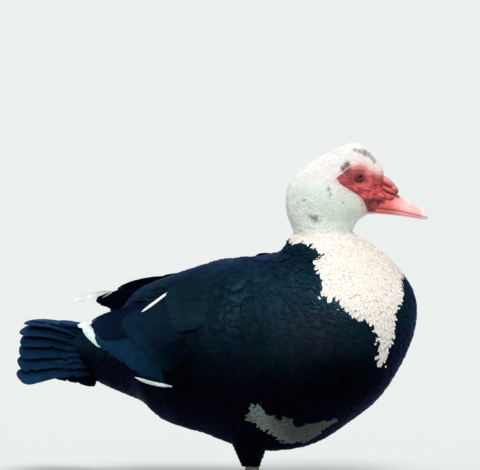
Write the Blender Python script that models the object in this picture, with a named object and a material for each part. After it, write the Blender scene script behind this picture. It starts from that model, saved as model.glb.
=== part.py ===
# A muscovy drake, life size, standing with its neck drawn in and its head turned to its left.
# +X is forward, +Y the bird's left, +Z up. The soles are at z = 0, and sizes are in metres.
import math

import bmesh
import bpy
import numpy as np
from mathutils import Matrix, Vector

GAP = 0.0003  # kept between nodes that touch
NECK_X = 0.140  # the upright axis that the neck and head turn about
HEAD_YAW = math.radians(25)

# Cross-sections from the rump to the bill's base. Each runs from a point on the back to a point on
# the underside, both in the upright plane through the neck's axis, and the head is drawn unturned.
#         back x, back z, under x, under z, half width, fullness below, share of the head's turn
TORSO = [
    (-0.156, 0.188, -0.156, 0.128, 0.034, 0.00, 0),  # root of the tail
    (-0.129, 0.204, -0.127, 0.116, 0.049, 0.00, 0),  # rump
    (-0.094, 0.223, -0.084, 0.1005, 0.066, 0.02, 0),
    (-0.055, 0.240, -0.055, 0.079, 0.083, 0.05, 0),  # loins and vent
    (-0.012, 0.256, -0.008, 0.068, 0.094, 0.08, 0),
    (0.030, 0.268, 0.030, 0.056, 0.100, 0.08, 0),  # middle of the back and belly
    (0.060, 0.276, 0.072, 0.051, 0.102, 0.06, 0),
    (0.079, 0.281, 0.118, 0.060, 0.101, 0.04, 0),
    (0.087, 0.285, 0.158, 0.084, 0.099, 0.04, 0),  # keel
    (0.090, 0.288, 0.1935, 0.1115, 0.096, 0.06, 0),
    (0.092, 0.291, 0.2200, 0.1490, 0.092, 0.08, 0),
    (0.0935, 0.294, 0.2375, 0.1890, 0.086, 0.10, 0),  # front of the breast
    (0.0945, 0.297, 0.2405, 0.2240, 0.077, 0.10, 0),
    (0.0965, 0.297, 0.2285, 0.2515, 0.066, 0.08, 0),  # base of the neck
]
NECK = [
    (0.0985, 0.3010, 0.2100, 0.2755, 0.0535, 0.04, 0.2),
    (0.1000, 0.3055, 0.1880, 0.2920, 0.0430, 0.02, 0.5),
    (0.0975, 0.3120, 0.1685, 0.3040, 0.0370, 0.00, 0.8),  # throat
]
HEAD = [
    (0.0925, 0.3260, 0.1695, 0.3120, 0.0355, 0.00, 1),
    (0.0912, 0.3430, 0.1740, 0.3185, 0.0365, 0.00, 1),  # nape
    (0.0945, 0.3605, 0.1785, 0.3220, 0.0370, 0.02, 1),
    (0.1055, 0.3750, 0.1815, 0.3240, 0.0365, 0.04, 1),
    (0.1220, 0.3865, 0.1835, 0.3255, 0.0345, 0.06, 1),  # cheeks
    (0.1435, 0.3980, 0.1860, 0.3260, 0.0315, 0.04, 1),
    (0.1655, 0.4072, 0.1885, 0.3262, 0.0280, 0.02, 1),  # crown
    (0.1815, 0.4030, 0.1905, 0.3263, 0.0250, 0.00, 1),
    (0.1945, 0.3935, 0.1930, 0.3263, 0.0215, 0.00, 1),  # forehead
    (0.2005, 0.3840, 0.1955, 0.3264, 0.0180, 0.00, 1),
    (0.2035, 0.3740, 0.1980, 0.3265, 0.0150, 0.00, 1),  # base of the bill
]
SECTIONS = np.array(TORSO + NECK + HEAD)
TORSO_END = len(TORSO) - 1
NECK_END = len(TORSO) + len(NECK) - 1
HEAD_END = len(SECTIONS) - 1
SIDES = 24  # points round each section of the body

# The bill, unturned: ridge z, mouth z, underside z and half width at each x.
#        x, ridge z, mouth z, under z, half width
BILL = [
    (0.1980, 0.3700, 0.3340, 0.3265, 0.0145),
    (0.2110, 0.3560, 0.3325, 0.3255, 0.0140),
    (0.2250, 0.3446, 0.3300, 0.3238, 0.0135),
    (0.2380, 0.3374, 0.3270, 0.3218, 0.0130),
    (0.2480, 0.3317, 0.3245, 0.3203, 0.0112),
    (0.2535, 0.3265, 0.3230, 0.3200, 0.0065),
]
NOSTRIL = {"x": 0.2195, "z": 0.3465, "length": 0.0042, "height": 0.0016}
# The fleshy growths of the face: x, z, half length, half height and pitch in degrees, on each side.
CARUNCLES = [
    (0.1673, 0.3805, 0.0090, 0.0032, -8),  # brow
    (0.1555, 0.3680, 0.0060, 0.0045, 10),
    (0.1788, 0.3605, 0.0075, 0.0034, -8),  # under the lid
    (0.1900, 0.3630, 0.0058, 0.0046, 0),
    (0.1834, 0.3490, 0.0062, 0.0050, -20),
    (0.1926, 0.3365, 0.0052, 0.0042, 0),  # corner of the mouth
    (0.2010, 0.3455, 0.0095, 0.0036, -12),
]
CARUNCLE = {"depth": 0.0038, "set_in": 0.0012}
KNOB = {"x": 0.2055, "z": 0.3605, "length": 0.0145, "height": 0.0074, "width": 0.0095, "pitch": -36}
EYE = {"x": 0.1755, "z": 0.3715, "radius": 0.0060, "set_in": 0.0034, "lid": 0.0015}
LIDS_OPEN = (0.0058, 0.0050, 0.0040)  # half sizes of the opening, centred on the front of the eye

# The folded wings lie on a smooth envelope round the body, with a section at each x.
#            x, centre z, half height, half width
ENVELOPE = [
    (-0.230, 0.166, 0.030, 0.026),
    (-0.200, 0.166, 0.036, 0.036),
    (-0.150, 0.163, 0.048, 0.054),
    (-0.100, 0.164, 0.064, 0.075),
    (-0.050, 0.162, 0.085, 0.092),
    (0.000, 0.163, 0.101, 0.102),
    (0.050, 0.165, 0.113, 0.106),
    (0.100, 0.170, 0.113, 0.101),
]
FAR_WING_LIFT = 0.018  # the left wing is folded this much higher at its tip

LEGS = {"right": {"side": -1, "foot_x": 0.069, "hock_x": 0.061, "y": 0.042},
        "left": {"side": 1, "foot_x": 0.020, "hock_x": 0.026, "y": 0.042}}
THIGH = {"top_z": 0.112, "top_radius": 0.036, "end_z": 0.041, "end_radius": 0.0120}
SHANK = {"radius": 0.0066, "end_z": 0.0165}
#         turn in degrees (towards the bird's midline is negative), length, radius at the root and tip
TOES = {"inner": (-25, 0.052, 0.0052, 0.0036), "middle": (-2, 0.070, 0.0056, 0.0038),
        "outer": (22, 0.063, 0.0052, 0.0036)}
HALLUX = {"turn": 155, "length": 0.017, "radius": 0.0032, "z": 0.0085}
CLAW = {"length": 0.0115, "radius": 0.0027}
WEB = {"reach": 0.86, "under": 0.0006, "thickness": 0.0022}

COLOURS = {
    "dark_plumage": (0.020, 0.026, 0.040, 0.45),
    "pied_plumage": (0.050, 0.055, 0.065, 0.55),
    "white_plumage": (0.820, 0.820, 0.760, 0.60),
    "face_skin": (0.560, 0.050, 0.060, 0.45),
    "bill_horn": (0.720, 0.270, 0.240, 0.35),
    "eye_gloss": (0.050, 0.022, 0.012, 0.08),
    "leg_skin": (0.095, 0.085, 0.070, 0.50),
    "claw_horn": (0.150, 0.130, 0.110, 0.35),
}


def material(name):
    *colour, roughness = COLOURS[name]
    made = bpy.data.materials.get(name) or bpy.data.materials.new(name)
    made.use_nodes = True
    shader = made.node_tree.nodes["Principled BSDF"]
    shader.inputs["Base Color"].default_value = (*colour, 1)
    shader.inputs["Roughness"].default_value = roughness
    shader.inputs["Metallic"].default_value = 0
    return made


def smooth_values(table, at):
    """Rows of the table at fractional places, on a smooth curve through them all."""
    table = np.asarray(table, float)
    padded = np.vstack([2 * table[0] - table[1], table, 2 * table[-1] - table[-2]])
    at = np.clip(np.asarray(at, float), 0, len(table) - 1)
    low = np.minimum(at.astype(int), len(table) - 2)
    t = (at - low)[:, None]
    a, b, c, d = (padded[low + k] for k in range(4))
    return b + 0.5 * t * (c - a + t * (2 * a - 5 * b + 4 * c - d + t * (3 * (b - c) + d - a)))


def turned(points, share):
    """Points turned about the neck's axis by a share of the head's yaw."""
    points = np.array(points, float)
    angle = HEAD_YAW * np.asarray(share, float)
    x, y = points[..., 0] - NECK_X, points[..., 1].copy()
    points[..., 0] = NECK_X + x * np.cos(angle) - y * np.sin(angle)
    points[..., 1] = x * np.sin(angle) + y * np.cos(angle)
    return points


def body_point(at, angle):
    """Points of the body's surface: at is the place along SECTIONS, angle runs from the back over the left."""
    at, angle = np.broadcast_arrays(np.asarray(at, float), np.asarray(angle, float))
    back_x, back_z, under_x, under_z, width, fullness, turn = smooth_values(SECTIONS, at.ravel()).T
    a = angle.ravel()
    centre = np.stack([(back_x + under_x) / 2, 0 * a, (back_z + under_z) / 2], 1)
    half = np.stack([(back_x - under_x) / 2, 0 * a, (back_z - under_z) / 2], 1)
    side = width * np.sin(a) * (1 - fullness * np.cos(a))
    points = centre + half * np.cos(a)[:, None] + side[:, None] * np.array([0, 1, 0])
    return turned(points, turn).reshape(*at.shape, 3)


def envelope_point(x, angle, side):
    """Points of the surface that the folded wing on one side lies on. The angle runs down from the back."""
    rows = np.array(ENVELOPE)
    at = np.interp(x, rows[:, 0], np.arange(len(rows)))
    _, centre, height, width = smooth_values(rows, at).T
    share = np.clip((-x - 0.01) / 0.11, 0, 1)
    lift = FAR_WING_LIFT * (side > 0) * share * share * (3 - 2 * share)
    return np.stack([x, side * width * np.sin(angle), centre + height * np.cos(angle) + lift], 1)


def new_object(name, points, faces, finish=None):
    mesh = bpy.data.meshes.new(name)
    mesh.from_pydata([tuple(p) for p in np.asarray(points, float)], [], faces)
    made = bpy.data.objects.new(name, mesh)
    shell = bmesh.new()
    shell.from_mesh(mesh)
    bmesh.ops.recalc_face_normals(shell, faces=shell.faces)
    shell.to_mesh(mesh)
    shell.free()
    if finish:
        mesh.materials.append(material(finish))
    return made


def lofted(name, rings, finish=None):
    """A closed skin through rings of points, with flat caps."""
    rings = np.asarray(rings, float)
    count, around = rings.shape[:2]
    faces = [
        (i * around + j, i * around + (j + 1) % around,
         (i + 1) * around + (j + 1) % around, (i + 1) * around + j)
        for i in range(count - 1) for j in range(around)
    ]
    faces.append(tuple(range(around)))
    faces.append(tuple(range((count - 1) * around, count * around)))
    return new_object(name, rings.reshape(-1, 3), faces, finish)


def body_rings(start, end, steps, start_gap=0.0):
    """Rings of the body from one section to another. The first is moved along its own normal by a gap."""
    at = np.linspace(start, end, steps + 1)
    angle = np.linspace(0, 2 * math.pi, SIDES, endpoint=False)
    rings = body_point(at[:, None], angle[None, :])
    if start_gap:
        first = rings[0]
        normal = np.cross(first[SIDES // 4] - first[0], first[SIDES // 2] - first[0])
        normal /= np.linalg.norm(normal)
        ahead = np.sign(normal @ (rings[1].mean(0) - first.mean(0)))
        rings[0] = first + ahead * normal * start_gap
    return rings


def ball(name, centre, radii, segments=12, rings=8, pitch=0.0):
    bm = bmesh.new()
    bmesh.ops.create_uvsphere(bm, u_segments=segments, v_segments=rings, radius=1)
    bmesh.ops.scale(bm, vec=radii, verts=bm.verts)
    bmesh.ops.rotate(bm, matrix=Matrix.Rotation(math.radians(-pitch), 3, "Y"), verts=bm.verts)
    bmesh.ops.translate(bm, vec=centre, verts=bm.verts)
    mesh = bpy.data.meshes.new(name)
    bm.to_mesh(mesh)
    bm.free()
    return bpy.data.objects.new(name, mesh)


def taper(name, start, end, start_radius, end_radius, sides=8, steps=3, drop=0.0):
    """A round bar between two points, with a radius at each end, that can bow down between them."""
    start, end = np.array(start, float), np.array(end, float)
    along = (end - start) / np.linalg.norm(end - start)
    across = np.cross(along, (0, 1, 0) if abs(along[1]) < 0.9 else (1, 0, 0))
    across /= np.linalg.norm(across)
    other = np.cross(along, across)
    rings = []
    for t in np.linspace(0, 1, steps + 1):
        centre = start + t * (end - start) + np.array([0, 0, drop * 4 * t * (1 - t)])
        radius = start_radius + t * (end_radius - start_radius)
        turn = np.linspace(0, 2 * math.pi, sides, endpoint=False)[:, None]
        rings.append(centre + radius * (np.cos(turn) * across + np.sin(turn) * other))
    return lofted(name, rings)


def evaluated_mesh(made):
    bpy.context.view_layer.update()
    graph = bpy.context.evaluated_depsgraph_get()
    return bpy.data.meshes.new_from_object(made.evaluated_get(graph))


def largest_shell(mesh):
    """Leaves only the closed surface that holds the most."""
    bm = bmesh.new()
    bm.from_mesh(mesh)
    bmesh.ops.triangulate(bm, faces=bm.faces)
    left, shells = set(bm.faces), []
    while left:
        seed = left.pop()
        shell, edge = {seed}, [seed]
        while edge:
            near = {f for e in edge.pop().edges for f in e.link_faces} & left
            left -= near
            shell |= near
            edge += near
        volume = sum(f.verts[0].co.dot(f.verts[1].co.cross(f.verts[2].co)) for f in shell)
        shells.append((volume, shell))
    keep = max(shells, key=lambda found: found[0])[1]
    bmesh.ops.delete(bm, geom=[f for f in bm.faces if f not in keep], context="FACES")
    loose = [v for v in bm.verts if not v.link_faces]
    bmesh.ops.delete(bm, geom=loose, context="VERTS")
    bm.to_mesh(mesh)
    bm.free()


def combined(base, others, operation, solver="MANIFOLD"):
    """The base object after one Boolean with all the others, which are then removed."""
    group = bpy.data.collections.new("pieces")
    bpy.context.scene.collection.children.link(group)
    for piece in others:
        group.objects.link(piece)
    home = bpy.context.scene.collection
    home.objects.link(base)
    step = base.modifiers.new(operation.lower(), "BOOLEAN")
    step.operation = operation
    step.operand_type = "COLLECTION"
    step.collection = group
    step.solver = solver
    mesh = evaluated_mesh(base)
    base.modifiers.clear()
    base.data = mesh
    home.objects.unlink(base)
    for piece in others:
        bpy.data.objects.remove(piece)
    bpy.data.collections.remove(group)
    largest_shell(mesh)
    return base


def swollen(source, by, name="cutter"):
    """A copy of a closed mesh with its surface moved out along its normals."""
    mesh = source.data.copy()
    mesh.update()
    normals = [v.normal.copy() for v in mesh.vertices]
    for vertex, normal in zip(mesh.vertices, normals):
        vertex.co += normal * by
    return bpy.data.objects.new(name, mesh)


VANE_WIDTHS = [0.50, 0.82, 1.00, 1.00, 0.80, 0.32]  # share of the width from root to tip


def vane(path, across, normal, width, tilt=0.0, thickness=0.0009, steps=4):
    """One feather's vane along a path. Its second edge stands out by the tilt, and both faces share diagonals."""
    places = np.linspace(0, 1, steps + 1)
    from_place = np.linspace(0, 1, len(path))
    path, across, normal = (
        np.stack([np.interp(places, from_place, field[:, k]) for k in range(3)], 1)
        for field in (path, across, normal)
    )
    widths = width * np.interp(places, np.linspace(0, 1, len(VANE_WIDTHS)), VANE_WIDTHS) / 2
    thick = thickness * (1 - 0.3 * places)
    lean = tilt * np.minimum(1, 0.3 + 1.4 * places)
    rings = []
    for i in range(steps + 1):
        row = []
        for face, order in ((1, (-1, 0, 1)), (-1, (1, 0, -1))):
            for c in order:
                height = lean[i] * c + face * thick[i] * (0.5 if c else 0.65)
                row.append(path[i] + across[i] * widths[i] * c + normal[i] * height)
        rings.append(row)
    faces = []
    for i in range(steps):
        a, b = 6 * i, 6 * (i + 1)
        for j, k in ((0, 1), (1, 2), (2, 3), (3, 4), (4, 5), (5, 0)):
            if j == 3:
                faces += [(a + 3, a + 4, b + 3), (a + 4, b + 4, b + 3)]
            elif j == 4:
                faces += [(a + 4, a + 5, b + 4), (a + 5, b + 5, b + 4)]
            else:
                faces += [(a + j, a + k, b + k), (a + j, b + k, b + j)]
    end = 6 * steps
    faces += [(0, 1, 4, 5), (1, 2, 3, 4), (end, end + 1, end + 4, end + 5), (end + 1, end + 2, end + 3, end + 4)]
    return new_object("vane", np.array(rings).reshape(-1, 3), faces)


def unit(v):
    return v / np.linalg.norm(v, axis=-1, keepdims=True)


def wing_vane(side, root, tip, width, level, tilt, steps=5):
    """A vane on the wing's envelope. Root and tip are (x, angle in degrees), levels are heights over it."""
    share = np.linspace(0, 1, 9)
    x = root[0] + share * (tip[0] - root[0])
    angle = np.radians(root[1] + share * (tip[1] - root[1]))
    small = 1e-4
    here = envelope_point(x, angle, side)
    down = unit(envelope_point(x, angle + small, side) - here)
    back = unit(envelope_point(x - small, angle, side) - here)
    normal = unit(np.cross(back, down)) * -side
    along = unit(np.gradient(here, axis=0))
    across = unit(np.cross(normal, along)) * side
    height = level[0] + (level[1] - level[0]) * np.minimum(1, share * 1.6)
    return vane(here + normal * height[:, None], across, normal, width, tilt, steps=steps)


# Tiers of the wing, from the lowest. Root and tip are (x, angle down from the back in degrees) of the
# innermost, the middle and the outermost feather.
WING_TIERS = {
    "primaries": {"count": 5, "width": 0.024, "level": (-0.0080, -0.0058), "tilt": 0.0012, "steps": 3,
                  "roots": ((-0.070, 50), (-0.060, 62), (-0.050, 74)),
                  "tips": ((-0.158, 50), (-0.150, 62), (-0.118, 82))},
    "secondaries": {"count": 7, "width": 0.029, "level": (-0.0048, -0.0022), "tilt": 0.0013, "steps": 3,
                    "roots": ((-0.052, 44), (-0.022, 66), (-0.010, 90)),
                    "tips": ((-0.136, 60), (-0.098, 88), (-0.026, 110))},
    "greater_coverts": {"count": 6, "width": 0.027, "level": (-0.0034, 0.0008), "tilt": 0.0012, "steps": 3,
                        "roots": ((-0.012, 46), (0.014, 58), (0.020, 73)),
                        "tips": ((-0.085, 58), (-0.052, 75), (-0.018, 93))},
    "tertials": {"count": 4, "width": 0.026, "level": (-0.0032, 0.0014), "tilt": 0.0012, "steps": 4,
                 "roots": ((-0.014, 39), (-0.018, 47), (-0.024, 56)),
                 "tips": ((-0.130, 53), (-0.130, 62), (-0.118, 72))},
    "scapulars": {"count": 5, "width": 0.030, "level": (-0.0032, 0.0036), "tilt": 0.0012, "steps": 3,
                  "roots": ((0.045, 14), (0.045, 31), (0.048, 50)),
                  "tips": ((-0.026, 26), (-0.058, 50), (-0.036, 70))},
}
WING_CORE = {"front_x": 0.088, "back_x": -0.085, "top": 13, "outer": -0.0016, "depth": 0.013}
#                 x, lowest angle of the core
WING_LOWER_EDGE = [(-0.085, 76), (-0.050, 92), (-0.020, 88), (0.015, 74), (0.055, 62), (0.088, 52)]
# The left wing is held higher, with its tip over the tail and its long feathers over the back.
LEFT_TIERS = {
    "primaries": {"roots": ((-0.080, 24), (-0.075, 40), (-0.070, 56)),
                  "tips": ((-0.193, 48), (-0.186, 57), (-0.156, 74))},
    "tertials": {"roots": ((-0.018, 11), (-0.022, 25), (-0.028, 42)),
                 "tips": ((-0.134, 14), (-0.137, 31), (-0.126, 50))},
    "scapulars": {"roots": ((0.045, 14), (0.045, 28), (0.050, 44)),
                  "tips": ((-0.072, 15), (-0.072, 34), (-0.042, 56))},
}


def between(three, share):
    """A point on the curve through three points, by its share of the way."""
    a, b, c = (np.array(p, float) for p in three)
    return a * (1 - share) * (1 - 2 * share) + b * 4 * share * (1 - share) + c * share * (2 * share - 1)


def wing_core(side):
    """The wing's fleshy part, as a thick shell on the envelope that reaches into the torso."""
    edge = np.array(WING_LOWER_EDGE)
    xs = np.linspace(WING_CORE["back_x"], WING_CORE["front_x"], 12)
    rings = []
    for k, x in enumerate(xs):
        low = np.radians(WING_CORE["top"])
        high = np.radians(np.interp(x, edge[:, 0], edge[:, 1]))
        angles = np.linspace(low, high, 8)
        place = np.full_like(angles, x)
        here = envelope_point(place, angles, side)
        down = unit(envelope_point(place, angles + 1e-4, side) - here)
        back = unit(envelope_point(place - 1e-4, angles, side) - here)
        normal = unit(np.cross(back, down)) * -side
        slim = 0.0022 if k in (0, len(xs) - 1) else 0.0
        outer = here + normal * (WING_CORE["outer"] - slim)
        inner = here - normal * WING_CORE["depth"] * (0.45 if k == 0 else 1)
        rings.append(np.vstack([outer, inner[::-1]]))
    return lofted("core", rings)


def wing(side, name, torso, tail):
    pieces = []
    for tier, sizes in WING_TIERS.items():
        sizes = {**sizes, **(LEFT_TIERS.get(tier, {}) if side > 0 else {})}
        for i in range(sizes["count"]):
            share = i / (sizes["count"] - 1)
            root, tip = between(sizes["roots"], share), between(sizes["tips"], share)
            pieces.append(wing_vane(side, root, tip, sizes["width"], sizes["level"], sizes["tilt"],
                                    sizes["steps"]))
    made = combined(wing_core(side), pieces, "UNION")
    made = combined(made, [swollen(torso, GAP), swollen(tail, GAP)], "DIFFERENCE")
    made.name = name
    made.data.materials.clear()
    made.data.materials.append(material("dark_plumage"))
    return made


TAIL = {"root_x": -0.150, "root_z": 0.172, "pairs": 6, "length": 0.095, "fan": 42, "width": 0.037,
        "root_spread": 0.016, "tip_z": 0.190, "tip_drop": 0.062, "root_drop": 0.034, "roll": 40,
        "tilt": 0.0010}
TAIL_COVERTS = {"above": {"count": 5, "length": 0.050, "rise": 0.0090, "tip_rise": 0.0044, "width": 0.030},
                "below": {"count": 3, "length": 0.054, "rise": -0.0240, "tip_rise": -0.0080, "width": 0.028}}
TAIL_CORE_X = -0.196


def tail_vane(place, length, rise, tip_rise, width, tilt):
    """A vane of the arched fan. Place runs from -1 at the right edge to 1 at the left edge."""
    fan, size = math.radians(TAIL["fan"]) * place, abs(place)
    share = np.linspace(0, 1, 9)
    root = np.array([TAIL["root_x"], TAIL["root_spread"] * place, TAIL["root_z"] - TAIL["root_drop"] * size])
    full = TAIL["length"] * (1 - 0.02 * size)
    tip = np.array([TAIL["root_x"] - full * math.cos(fan), full * math.sin(fan) + root[1],
                    TAIL["tip_z"] - TAIL["tip_drop"] * size ** 1.35])
    reach = share * length / TAIL["length"]
    path = root + reach[:, None] * (tip - root)
    path[:, 2] += 0.006 * np.sin(math.pi * np.minimum(1, reach))
    roll = math.radians(TAIL["roll"]) * (1 if place > 0 else -1) * size ** 0.6
    along = unit(tip - root)
    up = unit(np.array([0, math.sin(roll), math.cos(roll)]))
    side = 1 if place > 0 else -1
    across = unit(np.cross(up, along)) * -side
    normal = unit(np.cross(along, across)) * side
    normal = normal * np.sign(normal[2])
    heights = rise + (tip_rise - rise) * share
    return vane(path + normal * heights[:, None], np.tile(across, (9, 1)), np.tile(normal, (9, 1)), width, tilt)


def tail_core():
    """The tail's fleshy root, which carries on the torso's last section and flattens backwards."""
    last = body_rings(0, 1, 1)[0]
    middle = last.mean(0)
    rings = []
    for share in (0, 0.35, 0.7, 1):
        shape = (last - middle) * np.array([0, 1 - 0.50 * share, 1 - 0.80 * share])
        x = last[0, 0] + 0.002 + share * (TAIL_CORE_X - last[0, 0] - 0.002)
        rings.append(shape + np.array([x, 0, middle[2] + 0.012 * share]))
    return lofted("core", rings)


def tail(torso_node):
    pieces = []
    for pair in range(TAIL["pairs"]):
        for side in (-1, 1):
            place = side * (pair + 0.5) / (TAIL["pairs"] - 0.5)
            pieces.append(tail_vane(place, TAIL["length"], 0, 0, TAIL["width"], TAIL["tilt"]))
    for sizes in TAIL_COVERTS.values():
        for place in np.linspace(-0.8, 0.8, sizes["count"]):
            pieces.append(tail_vane(place, sizes["length"], sizes["rise"], sizes["tip_rise"],
                                    sizes["width"], 0.0010))
    made = combined(tail_core(), pieces, "UNION")
    made = combined(made, [swollen(torso_node, GAP)], "DIFFERENCE")
    made.name = "tail"
    made.data.materials.append(material("dark_plumage"))
    return made


def torso():
    made = lofted("torso", body_rings(0, TORSO_END, 25), "dark_plumage")
    return made


def neck():
    return lofted("neck", body_rings(TORSO_END, NECK_END, 7, GAP), "white_plumage")


def head():
    """The head with its lids and the caruncles of the face, and sockets for the eyes."""
    skull = lofted("head", body_rings(NECK_END, HEAD_END, 16, GAP), "white_plumage")
    skull.data.materials.append(material("face_skin"))
    pieces = [ball("knob", (KNOB["x"], 0, KNOB["z"]), (KNOB["length"], KNOB["width"], KNOB["height"]),
                   12, 8, KNOB["pitch"])]
    cutters = []
    for side in (-1, 1):
        centre = eye_centre(side)
        front = (centre[0] + 0.0006, centre[1] + side * EYE["radius"], centre[2])
        pieces.append(ball("lids", centre, (EYE["radius"] + EYE["lid"],) * 3, 12, 8))
        cutters.append(ball("socket", centre, (EYE["radius"] + GAP,) * 3, 12, 8))
        cutters.append(ball("opening", front, LIDS_OPEN, 12, 8, -12))
        for x, z, length, height, pitch in CARUNCLES:
            y = side * (half_width_at(x, z) - CARUNCLE["set_in"])
            pieces.append(ball("caruncle", (x, y, z), (length, CARUNCLE["depth"], height), 8, 4, pitch))
    for piece in pieces + cutters:
        turn_mesh(piece)
    for piece in pieces:
        piece.data.materials.append(material("face_skin"))
    made = combined(skull, pieces, "UNION")
    return combined(made, cutters, "DIFFERENCE")


def turn_mesh(made):
    for vertex in made.data.vertices:
        vertex.co = Vector(turned([tuple(vertex.co)], 1)[0])


def half_width_at(x, z):
    """The head's half width at a place seen from the side, unturned."""
    at, angle = nearest_section(x, z)
    *_, width, fullness, _ = smooth_values(SECTIONS, [at])[0]
    return width * math.sin(angle) * (1 - fullness * math.cos(angle))


def eye_centre(side):
    """The eye's centre on the unturned head."""
    return (EYE["x"], side * (half_width_at(EYE["x"], EYE["z"]) - EYE["set_in"]), EYE["z"])


def nearest_section(x, z):
    """The place along the head and the angle whose point has this x and z."""
    at = np.linspace(NECK_END, HEAD_END, 200)
    rows = smooth_values(SECTIONS, at)
    middle = (rows[:, 0:2] + rows[:, 2:4]) / 2
    half = (rows[:, 0:2] - rows[:, 2:4]) / 2
    away = np.array([x, z]) - middle
    off = np.abs(half[:, 0] * away[:, 1] - half[:, 1] * away[:, 0]) / np.linalg.norm(half, axis=1)
    best = int(np.argmin(off))
    cosine = (away[best] @ half[best]) / (half[best] @ half[best])
    return at[best], math.acos(max(-1, min(1, cosine)))


def eye(side, name):
    made = ball(name, eye_centre(side), (EYE["radius"],) * 3, 12, 8)
    turn_mesh(made)
    made.data.materials.append(material("eye_gloss"))
    return made


def bill_rings(upper):
    rows = smooth_values(BILL, np.linspace(0, len(BILL) - 1, 11))
    rings = []
    for k, (x, ridge, mouth, under, width) in enumerate(rows):
        x = x + GAP if k == 0 else x
        if upper:
            angles = np.linspace(0, math.pi, 9)
            arch = np.stack([0 * angles, width * np.cos(angles), (ridge - mouth) * np.sin(angles) ** 0.8], 1)
            base = [(0, -width * f, 0) for f in (0.5, 0, -0.5)]
            ring = np.vstack([arch, base]) + np.array([x, 0, mouth])
        else:
            angles = np.linspace(0, math.pi, 7)
            narrow = width * 0.92
            arch = np.stack([0 * angles, narrow * np.cos(angles), (under - mouth + GAP) * np.sin(angles) ** 0.6], 1)
            base = [(0, -narrow * f, 0) for f in (0.5, 0, -0.5)]
            ring = np.vstack([arch, base]) + np.array([x, 0, mouth - GAP])
        rings.append(ring)
    return rings


def bill(head_node):
    upper = lofted("bill_upper", bill_rings(True))
    lower = lofted("bill_lower", bill_rings(False))
    turn_mesh(upper)
    turn_mesh(lower)
    nostrils = [ball("nostril", (NOSTRIL["x"], side * BILL[0][4], NOSTRIL["z"]),
                     (NOSTRIL["length"], 0.006, NOSTRIL["height"]), 8, 4) for side in (-1, 1)]
    for nostril in nostrils:
        turn_mesh(nostril)
    upper = combined(upper, [*nostrils, swollen(head_node, GAP)], "DIFFERENCE")
    lower = combined(lower, [swollen(head_node, GAP)], "DIFFERENCE")
    for made in (upper, lower):
        made.data.materials.clear()
        made.data.materials.append(material("bill_horn"))
    return upper, lower


def thigh(leg, name, torso_node):
    side, y = leg["side"], leg["y"]
    top = (leg["hock_x"] - 0.006, side * (y + 0.004), THIGH["top_z"])
    end = (leg["hock_x"], side * y, THIGH["end_z"])
    made = taper(name, top, end, THIGH["top_radius"], THIGH["end_radius"], sides=14, steps=5)
    made = combined(made, [swollen(torso_node, GAP)], "DIFFERENCE")
    made.data.materials.clear()
    made.data.materials.append(material("dark_plumage"))
    return made


def shank(leg, name, thigh_node):
    """The scaled part of the leg, from just under the thigh to the flat top of the foot."""
    side, y = leg["side"], leg["y"]
    hock = np.array([leg["hock_x"], side * y, THIGH["end_z"] + 0.004])
    foot = np.array([leg["foot_x"], side * y, SHANK["end_z"] - 0.004])
    made = taper(name, hock, foot, SHANK["radius"], SHANK["radius"] * 0.95, sides=12, steps=3)
    below = new_object("below", *box((-0.3, -0.3, -0.05), (0.3, 0.3, SHANK["end_z"])))
    made = combined(made, [below, swollen(thigh_node, GAP)], "DIFFERENCE")
    made.data.materials.clear()
    made.data.materials.append(material("leg_skin"))
    return made


def toe_end(leg, turn, length):
    side = leg["side"]
    angle = side * math.radians(turn)
    start = np.array([leg["foot_x"], side * leg["y"], 0.0])
    return start + length * np.array([math.cos(angle), math.sin(angle), 0])


def foot(leg, name):
    """Three toes joined by a web, the hind toe and the ankle, all flat underneath at the floor."""
    side = leg["side"]
    start = np.array([leg["foot_x"], side * leg["y"], 0.0])
    pieces, ends = [], []
    for turn, length, thick, thin in TOES.values():
        end = toe_end(leg, turn, length)
        ends.append(start + (end - start) * WEB["reach"])
        pieces.append(taper("toe", start + (0, 0, thick * 0.75), end + (0, 0, thin * 0.75), thick, thin,
                            sides=8, steps=3))
    hind = toe_end(leg, HALLUX["turn"], HALLUX["length"])
    pieces.append(taper("hallux", start + (0, 0, HALLUX["z"]), hind + (0, 0, HALLUX["radius"] * 0.8),
                        HALLUX["radius"] * 1.2, HALLUX["radius"] * 0.8, sides=8, steps=2))
    pieces.append(ball("ankle", tuple(start + (0, 0, 0.009)), (0.0085, 0.0085, 0.0092), 10, 6))
    outline = [start, ends[0]]
    for a, b in zip(ends, ends[1:]):
        middle = (a + b) / 2
        outline += [middle + (start - middle) * 0.13, b]
    low, high = WEB["under"], WEB["under"] + WEB["thickness"]
    count = len(outline)
    points = [p + (0, 0, low) for p in outline] + [p + (0, 0, high) for p in outline]
    faces = [tuple(range(count)), tuple(range(count, 2 * count))]
    faces += [(i, (i + 1) % count, count + (i + 1) % count, count + i) for i in range(count)]
    web = new_object(name, points, faces)
    made = combined(web, pieces, "UNION")
    top = new_object("above", *box((-0.3, -0.3, SHANK["end_z"] - GAP), (0.3, 0.3, 0.1)))
    floor = new_object("below", *box((-0.3, -0.3, -0.05), (0.3, 0.3, 0)))
    made = combined(made, [top, floor], "DIFFERENCE")
    made.data.materials.clear()
    made.data.materials.append(material("leg_skin"))
    return made


def box(low, high):
    points = [(x, y, z) for x in (low[0], high[0]) for y in (low[1], high[1]) for z in (low[2], high[2])]
    faces = [(0, 1, 3, 2), (4, 5, 7, 6), (0, 1, 5, 4), (2, 3, 7, 6), (0, 2, 6, 4), (1, 3, 7, 5)]
    return points, faces


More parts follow.
